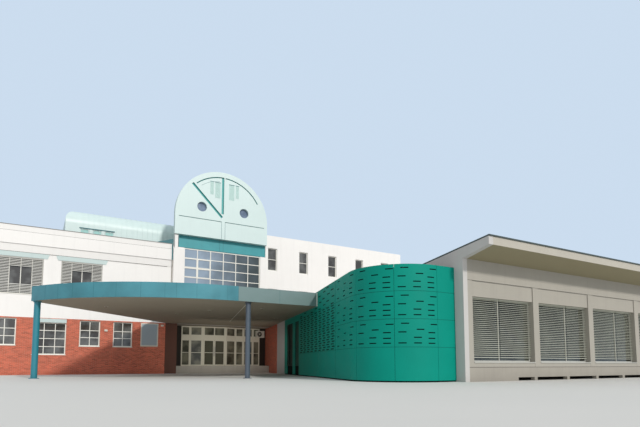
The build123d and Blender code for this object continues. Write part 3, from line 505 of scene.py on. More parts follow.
def painted_slot_shade(tree, place):
    """Mask of the sides of the screen's slots and joints, between its outer and inner face, where near black
    is painted as shade.
    """
    middle = SCREEN_SKIN / 2
    half = middle - SKIN_CLEAR
    x, y, z = node(tree, "SeparateXYZ", {0: place}).outputs
    past = beyond(flank.along, flank_end.dot(flank.along))(tree, place)
    flat = layer(flank.start - middle * flank.out, flank.out, half)(tree, place)
    flat = times(tree, flat, minus(tree, 1.0, past))
    across = minus(tree, x, nose_centre.x)
    radius = distance(tree, across, minus(tree, y, nose_centre.y))
    bent = between(tree, radius, *around(NOSE_RADIUS - middle, half))
    bent = times(tree, bent, past, maths(tree, "LESS_THAN", across, 0.0))
    inside = maths(tree, "MAXIMUM", flat, bent)
    return times(tree, inside, between(tree, z, screen_low.z + MASK_CLEAR, screen_high.z - MASK_CLEAR))


# Materials of the building

RENDER = colour(238, 236, 234)
MINT = colour(204, 222, 221)
FRAME_CREAM = colour(214, 209, 192)
BROWN = colour(92, 62, 52)
LINE_HALF = 0.012
BAND_EDGE = 0.002
PANE_HALF = 0.0125
EAVE_SKIN = 0.004
DECK_SKIN = 0.1
MIDWAY = 8
# The band that starts just under the cornice's top lightens the fascia's underside, which faces down into
# shade: painted light.
parapet_bands = (
    (cornice_bottom + BAND_EDGE, 1.0), (cornice_top - 2 * BAND_EDGE, 1.07), (fascia_top - LINE_HALF, 0.35),
    (fascia_top + LINE_HALF, 1.04), (wall_top - COPING, 0.30),
)
door_low, door_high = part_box("entrance_door_left")
dormer_low, dormer_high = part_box("penthouse_windows")


def coat(name, base, mottle=0.03, **more):
    """Rough render."""
    surface(name, base, 0.85, mottle, 0.35, 0.006, **more)


coat("white_render", RENDER, streak=0.1, foot=0.2,
     on="upper_front_wall end_walls back_walls tower_front_wall main_front_wall link_wall")
# Below the canopy's soffit the tower's side walls are painted dark brown as shade in the entrance recess.
coat("tower_render", RENDER, streak=0.1, inlay=(beyond(UP, soffit, -1), BROWN, 0.7), on="tower_side_walls")
# The pavilion wall's grey-beige is set darker than its lit colour to take in the shade of trees: partly its
# own colour, partly painted shade.
coat("pavilion_render", colour(164, 160, 151), 0.06, streak=0.12, foot=0.25,
     on="pavilion_front_wall pavilion_back_wall")
coat("pavilion_pale", colour(191, 189, 187), 0.05, streak=0.1, foot=0.25,
     on="pavilion_end_walls plaster_wall")
surface("parapet_render", shade(RENDER, 0.93), 0.8, 0.02, 0.25, 0.006, streak=0.08, bands=parapet_bands,
        on="parapet_front")
surface("eave_render", colour(180, 175, 164), 0.7, 0.08, 0.2, 0.005, streak=0.1, on="pavilion_eave_deck",
        inlay=(beyond(INWARD, eave_edge + EAVE_SKIN), colour(148, 140, 112), 0.8))
surface("brick_face", colour(212, 112, 86), 0.85, 0.16, 0.6, 0.005, patch=0.6, foot=0.35, tones=0.7)
surface("mortar_bed", colour(196, 160, 142), 0.9, 0.12, 0.5, 0.004, foot=0.4,
        on="ground_front_wall main_ground_wall brick_return_wall")
surface("concrete", colour(160, 155, 146), 0.85, 0.14, 0.5, 0.01, patch=0.8, streak=0.2, foot=0.35,
        on="ground_floors link_floor pavilion_floor pavilion_base")
surface("dark_pier", BROWN, 0.7, 0.14, 0.3, 0.005, streak=0.1, foot=0.3, on="entrance_pier")
surface("soffit_panel", colour(150, 141, 124), 0.7, 0.08, 0.15, 0.006, patch=2.5, on="canopy_deck",
        inlay=(beyond(UP, soffit + DECK_SKIN), colour(118, 116, 110), 0.85))
surface("interior", colour(168, 160, 148), 0.9, 0.06, 0.2, 0.006, on="upper_floors")
surface("roof_membrane", colour(112, 110, 106), 0.9, 0.2, 0.6, 0.01, patch=1.0, on="flat_roofs link_roof")
surface("roof_sheet", colour(62, 72, 68), 0.45, 0.14, 0.1, streak=0.1, sheet=0.15, on="pavilion_roof")
surface("mint_metal", MINT, 0.42, streak=0.08, sheet=0.12, on="penthouse vault_roof")
# Darker teal in the grooves is painted shade.
surface("gable_mint", MINT, streak=0.06, sheet=0.06, inlay=(painted_groove_shade, colour(78, 170, 168), 0.5),
        on="tower_gable")
surface("lintel_mint", shade(MINT, 0.84), 0.5, 0.05, streak=0.08, on="window_lintels")
surface("vent_mint", colour(186, 214, 210), 0.5, 0.05)
surface("dormer_mint", shade(MINT, 0.9), on="penthouse_windows",
        inlay=(layer((dormer_low + dormer_high) / 2, INWARD, PANE_HALF), colour(150, 200, 196), 0.35))
# The band's teal is the mint sheet's colour in the shade of trees, painted in: painted shade.
surface("teal_metal", colour(58, 150, 157), 0.38, 0.12, patch=0.7, streak=0.12, sheet=0.15, on="tower_band")
surface("dark_teal", colour(30, 100, 108), 0.45, 0.1)
# Its strong, broad mottle is painted reflection on the fascia.
surface("canopy_teal", colour(78, 146, 158), 0.32, 0.4, 0.04, metal=0.2, patch=1.1, sheet=0.25,
        inlay=(beyond(RIGHT, axis + CANOPY_ARC_X), colour(118, 138, 137), 0.36), on="canopy_fascia")
surface("column_teal", colour(44, 128, 144), 0.4, 0.1, streak=0.1, foot=0.25, on="canopy_columns",
        inlay=(beyond(RIGHT, axis - MIDWAY), colour(78, 88, 100), 0.35))
# Near black on the sides of the slots and joints is painted shade.
surface("screen_green", colour(0, 138, 122), 0.5, 0.12, 0.04, patch=1.5, sheet=0.08, shine=0.12,
        inlay=(painted_slot_shade, colour(10, 26, 24), 0.8), on="green_screen")
surface("door_dark", colour(24, 44, 40), 0.5, 0.08, shine=0.12, on="staff_door staff_door_sidelight")
surface("side_door", colour(16, 72, 64), 0.5, 0.08, foot=0.15, shine=0.12, on="service_door")
surface("frame_white", colour(232, 230, 222), on="window_frames curtain_wall_frame")
surface("frame_cream", FRAME_CREAM, 0.5, 0.06, foot=0.2,
        on="entrance_screen_left entrance_screen_right entrance_transom")
surface("door_cream", FRAME_CREAM, 0.5, 0.06, foot=0.2, on="entrance_door_left entrance_door_right",
        inlay=(layer((door_low + door_high) / 2, INWARD, PANE_HALF), colour(84, 82, 70), 0.08))
surface("pavilion_frame", colour(182, 182, 176), on="pavilion_window_frames")
surface("line_grey", colour(92, 88, 82), 0.7, 0.06)
surface("dark_panel", colour(46, 42, 38), 0.5, 0.14, 0.1, 0.004, on="recess_side_panels")
surface("slat_metal", colour(188, 190, 176), 0.45, 0.06, 0.1, 0.002, patch=0.5, tones=0.12,
        on="window_blinds")
surface("wing_slat", colour(212, 211, 206), 0.5, 0.08, 0.1, 0.002, patch=0.5, tones=0.15)
surface("shutter_metal", colour(160, 170, 178), 0.5, 0.08, 0.1, metal=0.1, on="closed_shutter")
surface("casing", colour(212, 208, 196), 0.5, 0.06, 0.08, on="air_conditioner")
# On the flank and nose walls close behind the screen, this near black is painted shade seen through the
# slots.
surface("black_metal", colour(14, 24, 22), 0.8, 0.1, grain=0.002, shine=0.1,
        on="flank_wall nose_wall doorway_piers doorway_beams")
surface("steel", colour(176, 178, 178), 0.28, 0.06, grain=0.002, metal=0.9)
surface("lamp_glass", colour(236, 236, 228), 0.3, 0.03, 0.02, 0.002)
surface("pale_floor", colour(214, 213, 210), 0.8, 0.02, grain=0.012, patch=4.0)
# Glass: the second colour, and its fade across the curtain wall, are painted reflections.
glazing("wing_glass", colour(60, 56, 52), colour(100, 100, 98), 0.8, on="window_glass")
glazing("curtain_glass", colour(50, 58, 56), colour(146, 162, 180), 1.4, on="curtain_wall_glass",
        sweep=[corner.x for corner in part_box("curtain_wall_glass")])
glazing("entrance_pane", colour(60, 60, 50), colour(120, 118, 102), 0.7, rough=0.3, on="entrance_glass")
glazing("pavilion_pane", colour(34, 38, 34), colour(84, 88, 80), 1.2, on="pavilion_window_glass")
glazing("porthole_pane", colour(92, 108, 132), colour(128, 142, 164), 0.6, rough=0.15, on="porthole_glass")


# Brickwork of the ground storey

BRICK_LENGTH = 0.240
BRICK_HEIGHT = 0.065
MORTAR = 0.010
BRICK_PROUD = 0.007
BRICK_UNEVEN = 0.0015
BRICK_BED = 0.004
BRICK_TONES = (0.62, 0.24)
SHORTEST_CUT = 0.02
WALL_REACH = 0.4

front = Wall((wing_end, facade))
left_end = Wall((wing_end, range_back), -INWARD)
right_end = Wall((main_end, facade), INWARD)
back = Wall((main_end, range_back), -RIGHT)


def openings_on(wall, length, nodes):
    """Runs and heights of the windows that lie on a wall, from the CAD frames."""
    found = []
    for name in nodes:
        for low, high in islands(name):
            middle = (low + high) / 2 - wall.start
            run = middle.dot(wall.along)
            if abs(middle.dot(wall.out)) <= WALL_REACH and 0 < run < length:
                half = abs((high - low).dot(wall.along)) / 2
                found.append((*around(run, half), low.z, high.z))
    return found


def clear_runs(start, end, gaps):
    """Parts of a stretch that no gap covers."""
    runs = [(start, end)]
    for low, high in gaps:
        runs = [part for a, b in runs for part in ((a, min(b, low)), (max(a, high), b))]
    return [(a, b) for a, b in runs if b - a > SHORTEST_CUT]


def brick_wall(name, wall, run, top=upper_storey, nodes=()):
    """Running bond from the ground to a height, between two runs and around some nodes' windows."""
    openings = openings_on(wall, run[1], nodes)
    shape = Shape()
    pitch = BRICK_LENGTH + MORTAR
    count = round(top / (BRICK_HEIGHT + MORTAR))
    course = top / count
    for number in range(count):
        bottom = number * course + MORTAR / 2
        height = (bottom, bottom + course - MORTAR)
        gaps = [(a, b) for a, b, low, high in openings if low < height[1] and high > height[0]]
        place = run[0] - (pitch / 2 if number % 2 else 0)
        while place < run[1]:
            left = max(place, run[0])
            right = min(place + BRICK_LENGTH, run[1])
            for part in clear_runs(left, right, gaps):
                tone = min(1.0, max(0.0, draw.gauss(*BRICK_TONES)))
                proud = BRICK_PROUD + draw.uniform(-BRICK_UNEVEN, BRICK_UNEVEN)
                wall.block(shape, part, (-BRICK_BED, proud), height, tone, OPEN_BACK_FACES)
            place += pitch
    piece(name, shape, "brick_face")


window_nodes = ("window_frames", "closed_shutter")
front_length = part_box("ground_front_wall")[1].x - wing_end
court_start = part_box("main_ground_wall")[0].x - wing_end
back_length = main_end - wing_end
range_depth = range_back - facade
brick_wall("brick_front", front, (0, front_length), nodes=window_nodes)
brick_wall("brick_left_end", left_end, (0, range_depth))
brick_wall("brick_right_end", right_end, (0, range_depth))
brick_wall("brick_back", back, (0, back_length), nodes=window_nodes)
brick_wall("brick_court", front, (court_start, back_length), nodes=window_nodes)
brick_wall("brick_return", return_wall, (0, return_length), soffit)


# Blinds

SLAT_PITCH = 0.083
WING_PITCH = 0.105
SLAT_WIDTH = 0.075
SLAT_CROWN = 0.008
SLAT_THICKNESS = 0.0015
OPEN_TILT = 22.0
CLOSED_TILT = 46.0
BLIND_EDGE = 0.008
BLIND_CLEAR = 0.004
BLIND_TONE = 0.9
HEAD_BOX_HALF = 0.03
HEAD_BOX_HEIGHT = 0.06
RAIL_HALF = 0.02
RAIL_TOP = 0.03
FIRST_SLAT = 0.09
LAST_SLAT = 0.05
WING_BLINDS = 4
OPEN_STRETCH = (6.20, 7.30)


def slat(shape, start, end, turn):
    """One curved slat between two points, turned by a tilt in degrees."""
    tilt = math.radians(turn)
    deep = (-math.cos(tilt) * INWARD - math.sin(tilt) * UP) * SLAT_WIDTH / 2
    crown = (math.cos(tilt) * UP - math.sin(tilt) * INWARD) * SLAT_CROWN
    upper = [start - deep, start + crown, start + deep]
    lower = [point - UP * SLAT_THICKNESS for point in reversed(upper)]
    shape.prism(upper + lower, end - start, draw.random())


def blind(shape, run, height, y, turn, pitch, gap=(0, 0)):
    """Slats of one window with head box and bottom rail; gap is a stretch of heights without slats."""
    left = Vector((run[0] + BLIND_EDGE, y, 0))
    right = Vector((run[1] - BLIND_EDGE, y, 0))
    bottom, top = height
    level = top - FIRST_SLAT
    while level > bottom + LAST_SLAT:
        if not gap[0] < level < gap[1]:
            slat(shape, left + level * UP, right + level * UP, turn)
        level -= pitch
    wall = Wall(left)
    width = (0, right.x - left.x)
    head = (top - HEAD_BOX_HEIGHT, top - BLIND_CLEAR)
    wall.block(shape, width, around(0, HEAD_BOX_HALF), head, BLIND_TONE)
    rail = (bottom + BLIND_CLEAR, bottom + RAIL_TOP)
    wall.block(shape, width, around(0, RAIL_HALF), rail, BLIND_TONE)


def blinds():
    """Open blinds in the pavilion; closed ones in the wing, with a clear middle."""
    pavilion = Shape()
    wing = Shape()
    for low, high in islands("window_blinds"):
        y = (low.y + high.y) / 2
        height = (low.z, high.z)
        if low.z < upper_storey:
            blind(pavilion, (low.x, high.x), height, y, OPEN_TILT, SLAT_PITCH)
            continue
        width = (high.x - low.x) / WING_BLINDS
        for number in range(WING_BLINDS):
            left = low.x + number * width
            gap = OPEN_STRETCH if 0 < number < WING_BLINDS - 1 else (0, 0)
            blind(wing, (left, left + width), height, y, CLOSED_TILT, WING_PITCH, gap)
    piece("pavilion_blinds", pavilion, "slat_metal")
    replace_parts(piece("wing_blinds", wing, "wing_slat"), "window_blinds")


blinds()


# Standing seams of the metal roofs

SEAM_WIDTH = 0.02
SEAM_RISE = 0.028
VAULT_PITCH = 0.6
VAULT_FOOT = 1.0
PENTHOUSE_PITCH = 0.4
PENTHOUSE_RADIUS = 1.2
FIRST_SEAM = 3
PAVILION_FALL = math.tan(math.radians(7.7))
PAVILION_INSET = 0.05
PAVILION_PITCH = 0.59


def vault_seams():
    """Arched seams over the vault, with upright feet."""
    low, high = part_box("vault_roof")
    shape = Shape()
    for y in spaced(low.y, high.y, VAULT_PITCH)[1:-1]:
        arch = arc_points(Vector((axis, y, spring)), RIGHT, UP, (high.x - low.x) / 2, 0, 180, 48)
        feet = [Vector((x, y, low.z + VAULT_FOOT)) for x in (high.x, low.x)]
        shape.strip([feet[0], *arch, feet[1]], INWARD, SEAM_WIDTH, SEAM_RISE)
    piece("vault_seams", shape, "mint_metal")


def penthouse_seams():
    """Seams up the penthouse's front, around its rounded edge and over its roof."""
    low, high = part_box("penthouse")
    vault_low, vault_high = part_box("vault_roof")
    shape = Shape()
    for x in spaced(low.x, high.x, PENTHOUSE_PITCH)[FIRST_SEAM:-1]:
        path = []
        if not vault_low.x < x < vault_high.x:
            path.append(Vector((x, low.y, low.z if x < tower_left else wall_top)))
        centre = Vector((x, low.y + PENTHOUSE_RADIUS, high.z - PENTHOUSE_RADIUS))
        path += arc_points(centre, -INWARD, UP, PENTHOUSE_RADIUS, 0, 90, 10)
        path.append(Vector((x, high.y, high.z)))
        shape.strip(path, -RIGHT, SEAM_WIDTH, SEAM_RISE)
    piece("penthouse_seams", shape, "mint_metal")


def pavilion_seams():
    """Seams down the slope of the pavilion's roof."""
    low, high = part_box("pavilion_roof")
    shape = Shape()
    for x in spaced(low.x + PAVILION_INSET, high.x - PAVILION_INSET, PAVILION_PITCH):
        start = Vector((x, low.y + PAVILION_INSET, high.z - PAVILION_INSET * PAVILION_FALL))
        end = Vector((x, high.y, high.z - (high.y - low.y) * PAVILION_FALL))
        shape.strip([start, end], -RIGHT, SEAM_WIDTH, SEAM_RISE)
    piece("pavilion_roof_seams", shape, "roof_sheet")


vault_seams()
penthouse_seams()
pavilion_seams()


# Tower: vent panels and joints of the gable, casements of the large window, rainwater pipe

gable_wall = Wall((axis, gable_face))
FLUSH = (-0.002, 0.002)
VENTS = ((-1.16, -0.87, 1.94), (-0.74, -0.29, 1.71), (0.46, 0.91, 1.71), (1.05, 1.31, 1.94))
VENT_HEAD = 3.0
VENT_RIM = 0.02
VENT_PLATE = 0.012
BLADE_OUT = 0.022
BLADE_HEIGHT = 0.02
BLADE_PITCH = 0.055
HEAD_SHADOW_OUT = 0.03
HEAD_SHADOW_HEIGHT = 0.035


def gable_vents():
    """Louvred panels with a dark strip of painted shadow over their heads; each has its left edge, right
    edge and foot.
    """
    head = spring + VENT_HEAD
    shape = Shape()
    lines = Shape()
    for left, right, foot in VENTS:
        bottom = spring + foot
        gable_wall.block(shape, (left, right), (0, VENT_PLATE), (bottom, head))
        blade = (left + VENT_RIM, right - VENT_RIM)
        height = bottom + 2 * VENT_RIM
        while height < head - 2 * VENT_RIM:
            gable_wall.block(shape, blade, (VENT_PLATE, BLADE_OUT), (height, height + BLADE_HEIGHT))
            height += BLADE_PITCH
        # Dark strip over each panel's head: painted shadow under the top edge of its recess.
        head_shadow = (left - VENT_RIM, right + VENT_RIM)
        gable_wall.block(lines, head_shadow, (0, HEAD_SHADOW_OUT), (head, head + HEAD_SHADOW_HEIGHT))
    piece("gable_vents", shape, "vent_mint")
    piece("gable_vent_head_shadows", lines, "dark_teal")


GABLE_JOINT = 0.15
LEVEL_GROOVE_DROP = 0.26
ARC_INSET = 0.36
ARC_PROUD = 0.002
ARC_WIDTH = 0.02
ARC_ANGLES = (97, 127)
DORMER_LAP = 0.06
DORMER_SHADOW = 0.07
DORMER_SHADOW_OUT = 0.03
BAND_LINE = 0.05
BAND_LINE_OUT = 0.012


def gable_joints_and_shadow():
    """Joints from the level groove down through the band, the faint second arc, the painted shadow
    over the penthouse's windows and the line along the band's foot."""
    shape = Shape()
    # The dark strip over the penthouse's windows is painted shadow.
    dormer = Wall((dormer_low.x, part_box("penthouse")[0].y))
    dormer.block(shape, (-DORMER_LAP, dormer_high.x - dormer_low.x + DORMER_LAP),
                 (FLUSH[0], DORMER_SHADOW_OUT), (dormer_high.z, dormer_high.z + DORMER_SHADOW))
    band_low, band_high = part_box("tower_band")
    band = Wall((axis, band_low.y))
    for side in (-1, 1):
        run = around(side * GABLE_JOINT, LINE_HALF)
        gable_wall.block(shape, run, FLUSH, (gable_low.z, spring - LEVEL_GROOVE_DROP))
        band.block(shape, run, FLUSH, (band_low.z, band_high.z))
    centre = Vector((axis, gable_face - ARC_PROUD / 2, spring))
    path = arc_points(centre, RIGHT, UP, FIELD_RADIUS - ARC_INSET, *ARC_ANGLES, 16)
    shape.strip(path, INWARD, ARC_PROUD, ARC_WIDTH)
    band.block(shape, (band_low.x - axis, band_high.x - axis), (FLUSH[0], BAND_LINE_OUT),
               (band_low.z, band_low.z + BAND_LINE))
    piece("gable_joints_and_shadow", shape, "dark_teal")


CASEMENTS = ((0, 1), (0, 2), (1, 1), (1, 2))
CURTAIN_BAYS = 6
CURTAIN_ROW = 0.78
CASEMENT_GAP = 0.03
CASEMENT_BAR = 0.045
CASEMENT_PROUD = (-0.028, 0.012)


def border(shape, wall, run, height, bar, proud):
    """Four bars around an opening, inside its edges."""
    wall.block(shape, run, proud, (height[0], height[0] + bar))
    wall.block(shape, run, proud, (height[1] - bar, height[1]))
    for side in ((run[0], run[0] + bar), (run[1] - bar, run[1])):
        wall.block(shape, side, proud, (height[0] + bar, height[1] - bar))


def casements():
    """Frames of the opening lights; each has its column and its row from the top."""
    low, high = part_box("curtain_wall_frame")
    wall = Wall(low)
    bay = (high.x - low.x) / CURTAIN_BAYS
    shape = Shape()
    for column, row in CASEMENTS:
        left = column * bay + CASEMENT_GAP
        top = high.z - row * CURTAIN_ROW - CASEMENT_GAP
        run = (left, left + bay - 2 * CASEMENT_GAP)
        height = (top - CURTAIN_ROW + 2 * CASEMENT_GAP, top)
        border(shape, wall, run, height, CASEMENT_BAR, CASEMENT_PROUD)
    piece("casements", shape, "frame_white")


PIPE_X = -4.04
PIPE_RADIUS = 0.045
LOWER_PIPE = 0.7
PIPE_OUT = 0.05
HEAD_OUT = 0.055
PIPE_BEND = 0.1
HEAD_DROP = 0.06
GUTTER = ((-5.3, 0.0), (-3.98, 0.0), (-3.98, 0.42))
GUTTER_START = 0.02
GUTTER_DEPTH = 0.25


def rainwater():
    """Pipe beside the tower and the sheet-metal gutter end on the parapet."""
    head = Shape()
    pipe = Shape()
    outer = parapet_low.y - facade - HEAD_OUT
    turn = plan(PIPE_X, outer, cornice_top)
    head.tube([turn, plan(PIPE_X, outer, wall_top - HEAD_DROP)], PIPE_RADIUS)
    pipe.tube([plan(PIPE_X, -PIPE_OUT, canopy_top), plan(PIPE_X, -PIPE_OUT, cornice_bottom - PIPE_BEND),
               plan(PIPE_X, outer, cornice_bottom + PIPE_BEND), turn], PIPE_RADIUS * LOWER_PIPE)
    ring = [plan(x, GUTTER_START, wall_top + rise) for x, rise in GUTTER]
    head.prism(ring, GUTTER_DEPTH * INWARD)
    piece("rainwater_head", head, "dark_teal")
    piece("rainwater_pipe", pipe, "concrete")


gable_vents()
gable_joints_and_shadow()
casements()
rainwater()


# Canopy: downlights and the light joint in the soffit, joints and end trim of the fascia

SOFFIT_LIGHTS = ((-9.73, -9.24), (-5.44, -7.50), (-4.18, -10.20), (-1.88, -12.70), (1.32, -7.80))
LIGHT_RADIUS = 0.11
LIGHT_DROP = 0.012
LENS_RADIUS = 0.075
LENS_DROP = 0.018
SOFFIT_JOINT = ((-3.39, -14.0), (-0.58, -3.8))
SOFFIT_JOINT_BAR = (0.03, 0.006)
CANOPY_RADIUS = 10.15
FASCIA_JOINTS = (214.0, 219.0, 224.1, 230.6, 237.0, 243.6, 249.9, 252.9, 258.3, 266.8)
FASCIA_JOINT_HALF = 0.006
LINE_OUT = 0.0015
CHORD = 0.014
TRIM_START = 0.07
TRIM_END = 0.01
TRIM_OUT = 0.02
END_CLEAR = 0.001
PLATE_HEIGHT = 0.03
PLATE_RIM = 0.09
RING_HEIGHT = 0.05
RING_RIM = 0.04


def soffit_details():
    """Downlights with their lenses, and the light joint."""
    lights = Shape()
    lenses = Shape()
    for x, y in SOFFIT_LIGHTS:
        top = plan(x, y, soffit)
        rim = top - LIGHT_DROP * UP
        lights.tube([rim, top], LIGHT_RADIUS, 24)
        lenses.tube([top - LENS_DROP * UP, rim], LENS_RADIUS, 24)
    piece("soffit_lights", lights, "casing")
    piece("soffit_lenses", lenses, "black_metal")
    joint = Shape()
    start, end = [plan(x, y, soffit) for x, y in SOFFIT_JOINT]
    across = (end - start).cross(UP).normalized()
    joint.strip([start, end], across, *SOFFIT_JOINT_BAR)
    piece("soffit_joint", joint, "lamp_glass")


def fascia_details():
    """Joints of the fascia, and the pale trim at its right end."""
    joints = Shape()
    height = (soffit, canopy_top)
    centre = Vector((axis + CANOPY_ARC_X, canopy_front + CANOPY_RADIUS, 0))
    for degrees in FASCIA_JOINTS:
        turn = math.radians(degrees)
        outward = Vector((math.cos(turn), math.sin(turn), 0))
        wall = Wall(centre + CANOPY_RADIUS * outward, UP.cross(outward))
        wall.block(joints, around(0, FASCIA_JOINT_HALF), (-CHORD, LINE_OUT), height)
    straight = Wall((axis, canopy_front))
    end = kink.x - axis
    for run in (CANOPY_ARC_X, (CANOPY_ARC_X + end) / 2):
        straight.block(joints, around(run, FASCIA_JOINT_HALF), (FLUSH[0], LINE_OUT), height)
    piece("fascia_joints", joints, "dark_teal")
    trim = Shape()
    straight.block(trim, (end - TRIM_START, end - TRIM_END), (0, TRIM_OUT), height)
    piece("fascia_trim", trim, "frame_white")


def column_details():
    """Base plate and head ring of each column."""
    shape = Shape()
    for low, high in islands("canopy_columns"):
        centre = Vector(((low.x + high.x) / 2, (low.y + high.y) / 2, 0))
        radius = (high.x - low.x) / 2
        plate = (END_CLEAR, PLATE_HEIGHT, PLATE_RIM)
        ring = (high.z - RING_HEIGHT, high.z - END_CLEAR, RING_RIM)
        for bottom, top, rim in (plate, ring):
            shape.tube([centre + bottom * UP, centre + top * UP], radius + rim, 32)
    piece("column_plates", shape, "column_teal")


soffit_details()
fascia_details()
column_details()


# Green screen: joints between the rows of panels, and the slotted rear part

pavilion_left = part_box("pavilion_end_walls")[0].x
FLANK_DENSE = 3.66
BOUNDARY_DENSE = -4.55
FIRST_FLANK_COLUMN = 0.56
FIRST_BOUNDARY_COLUMN = -0.31
KINK_CLEAR = 0.014
SLOT_MARGIN = 0.02
SPARSE_STEP = 3
SHADE_SHEET = 0.001
NOSE_LINE_BASE = 0.004
NOSE_LINE_RISE = 0.0055


def perforated(shape, shade_sheet, wall, run, first, step):
    """Sheet with short level slots over a black sheet of painted shade; they are sparse in the uppermost
    row.
    """
    columns = []
    place = first
    while run[0] < place < run[1]:
        columns.append(place)
        place += step
    columns.sort()
    upper_edge = screen_high.z - SCREEN_RIM
    for bottom, top in zip(ROW_JOINTS, (*ROW_JOINTS[1:], upper_edge)):
        rows = round((top - bottom - JOINT) / SLOT_ROW)
        pitch = (top - bottom - JOINT) / rows
        # Black sheet behind the slots: painted shade.
        wall.block(shade_sheet, run, (0, SHADE_SHEET), (bottom - JOINT / 2, top + JOINT / 2))
        for number in range(rows):
            low = bottom + JOINT / 2 + number * pitch
            slot = around(low + pitch / 2, SLOT_HEIGHT / 2)
            wall.block(shape, run, (0, SHEET), (low, slot[0]))
            wall.block(shape, run, (0, SHEET), (slot[1], low + pitch))
            start = run[0]
            for order, column in enumerate(columns):
                if top == upper_edge and (2 * number + order) % SPARSE_STEP:
                    continue
                middle = column + (SLOT_SHIFT if number % 2 else -SLOT_SHIFT)
                left, right = around(middle, SLOT_LENGTH / 2)
                wall.block(shape, (start, max(left, run[0] + SLOT_MARGIN)), (0, SHEET), slot)
                start = min(right, run[1] - SLOT_MARGIN)
            wall.block(shape, (start, run[1]), (0, SHEET), slot)


def screen_details():
    """Slotted sheets of the rear part over black sheets of painted shade, and the joints of all the rest."""
    sheet = Shape()
    joints = Shape()
    perforated(sheet, joints, flank, (KINK_CLEAR, FLANK_DENSE), FIRST_FLANK_COLUMN, SLOT_COLUMN)
    perforated(sheet, joints, boundary, (BOUNDARY_DENSE + KINK_CLEAR, -KINK_CLEAR), FIRST_BOUNDARY_COLUMN,
               -SLOT_COLUMN)
    piece("screen_slots", sheet, "screen_green")
    half = JOINT / 2
    proud = (0, LINE_OUT)
    front_screen = Wall((nose_centre.x, screen_low.y))
    for level in ROW_JOINTS:
        path = arc_points(nose_centre + level * UP, RIGHT, INWARD, NOSE_RADIUS - NOSE_LINE_BASE,
                          180 - math.degrees(FLANK_ANGLE), 270, 40)
        joints.strip(path, UP, JOINT, NOSE_LINE_RISE)
        height = around(level, half)
        flank.block(joints, (FLANK_DENSE, flank_length), proud, height)
        front_screen.block(joints, (0, pavilion_left - nose_centre.x), proud, height)
    flank.block(joints, (FLANK_DENSE, FLANK_DENSE + JOINT), proud, (SCREEN_FOOT, screen_high.z))
    piece("screen_joints_and_slot_shade", joints, "black_metal")


screen_details()


# Wing: sills, painted shadow line under the cornice, frame and ribs of the closed shutter, small fittings on
# the wall

SILL_LAP = 0.03
SILL_TOP = 0.012
SILL_PROUD = (-0.10, 0.035)
SHADOW_LINE_PROUD = (0.018, 0.030)
SHUTTER_BAR = 0.07
SHUTTER_MARGIN = (0.10, 0.12)
SHUTTER_PROUD = (0, 0.02)
RIB_OUT = 0.006
RIB_HEIGHT = 0.075
RIB_PITCH = 0.085
FITTINGS = (((-4.74, -4.56), 0.14, (3.62, 3.74)), ((-8.72, -8.52), 0.10, (3.10, 3.24)))


def wing_details():
    """Small parts of the wing's front wall."""
    sills = Shape()
    for left, right, low, high in openings_on(front, front_length, ("window_frames",)):
        front.block(sills, (left - SILL_LAP, right + SILL_LAP), SILL_PROUD, (low - SILL_LAP, low + SILL_TOP))
    piece("window_sills", sills, "frame_white")
    # Dark line under the cornice's edge: painted shadow.
    shadow_line = Shape()
    front.block(shadow_line, (0, front_length), SHADOW_LINE_PROUD, around(cornice_bottom, LINE_HALF))
    piece("cornice_shadow_line", shadow_line, "line_grey")
    low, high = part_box("closed_shutter")
    run = (low.x - wing_end, high.x - wing_end)
    surround = Shape()
    border(surround, front, run, (low.z, high.z), SHUTTER_BAR, SHUTTER_PROUD)
    piece("shutter_frame", surround, "casing")
    ribs = Shape()
    height = low.z + SHUTTER_MARGIN[0]
    while height < high.z - SHUTTER_MARGIN[1]:
        front.block(ribs, (run[0] + SHUTTER_BAR, run[1] - SHUTTER_BAR), (0, RIB_OUT),
                    (height, height + RIB_HEIGHT))
        height += RIB_PITCH
    piece("shutter_ribs", ribs, "shutter_metal")
    lamp = Shape()
    for (left, right), out, height in FITTINGS:
        front.block(lamp, (axis + left - wing_end, axis + right - wing_end), (0, out), height)
    piece("wall_fittings", lamp, "casing")


wing_details()


# Entrance: door pulls, fan of the air conditioner

PULL_HEIGHTS = (1.50, 2.15)
PULL_INSET = 0.05
PULL_OUT = 0.06
PULL_END = 0.08
PULL_RADIUS = 0.014
STANDOFF_RADIUS = 0.009


def door_pulls():
    """Upright bar on two stand-offs, on each leaf of the entrance."""
    for name, side in (("entrance_door_left", 1), ("entrance_door_right", -1)):
        low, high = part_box(name)
        shape = Shape()
        x = high.x - PULL_INSET if side > 0 else low.x + PULL_INSET
        ends = [Vector((x, low.y - PULL_OUT, height)) for height in PULL_HEIGHTS]
        shape.tube([ends[0] - PULL_END * UP, ends[1] + PULL_END * UP], PULL_RADIUS)
        for point in ends:
            shape.tube([point + PULL_OUT * INWARD, point], STANDOFF_RADIUS, 8)
        piece(name + "_pull", shape, "steel", body=name + "_leaf")


FAN_SHARE = 0.4
FAN_RADIUS = 0.23
FAN_RECESS = 0.04
GUARD_RINGS = (0.06, 0.10, 0.14, 0.18, 0.22)
GUARD_WIRE = (0.005, 0.004)
GUARD_SPOKES = 8
SPOKE_RADIUS = 0.003
HUB_RADIUS = 0.05
DISC_DEPTHS = (0.9, 0.99)
GUARD_DEPTH = 0.1
HUB_DEPTHS = (0.05, 0.6)
FAN_CLEAR = 0.002


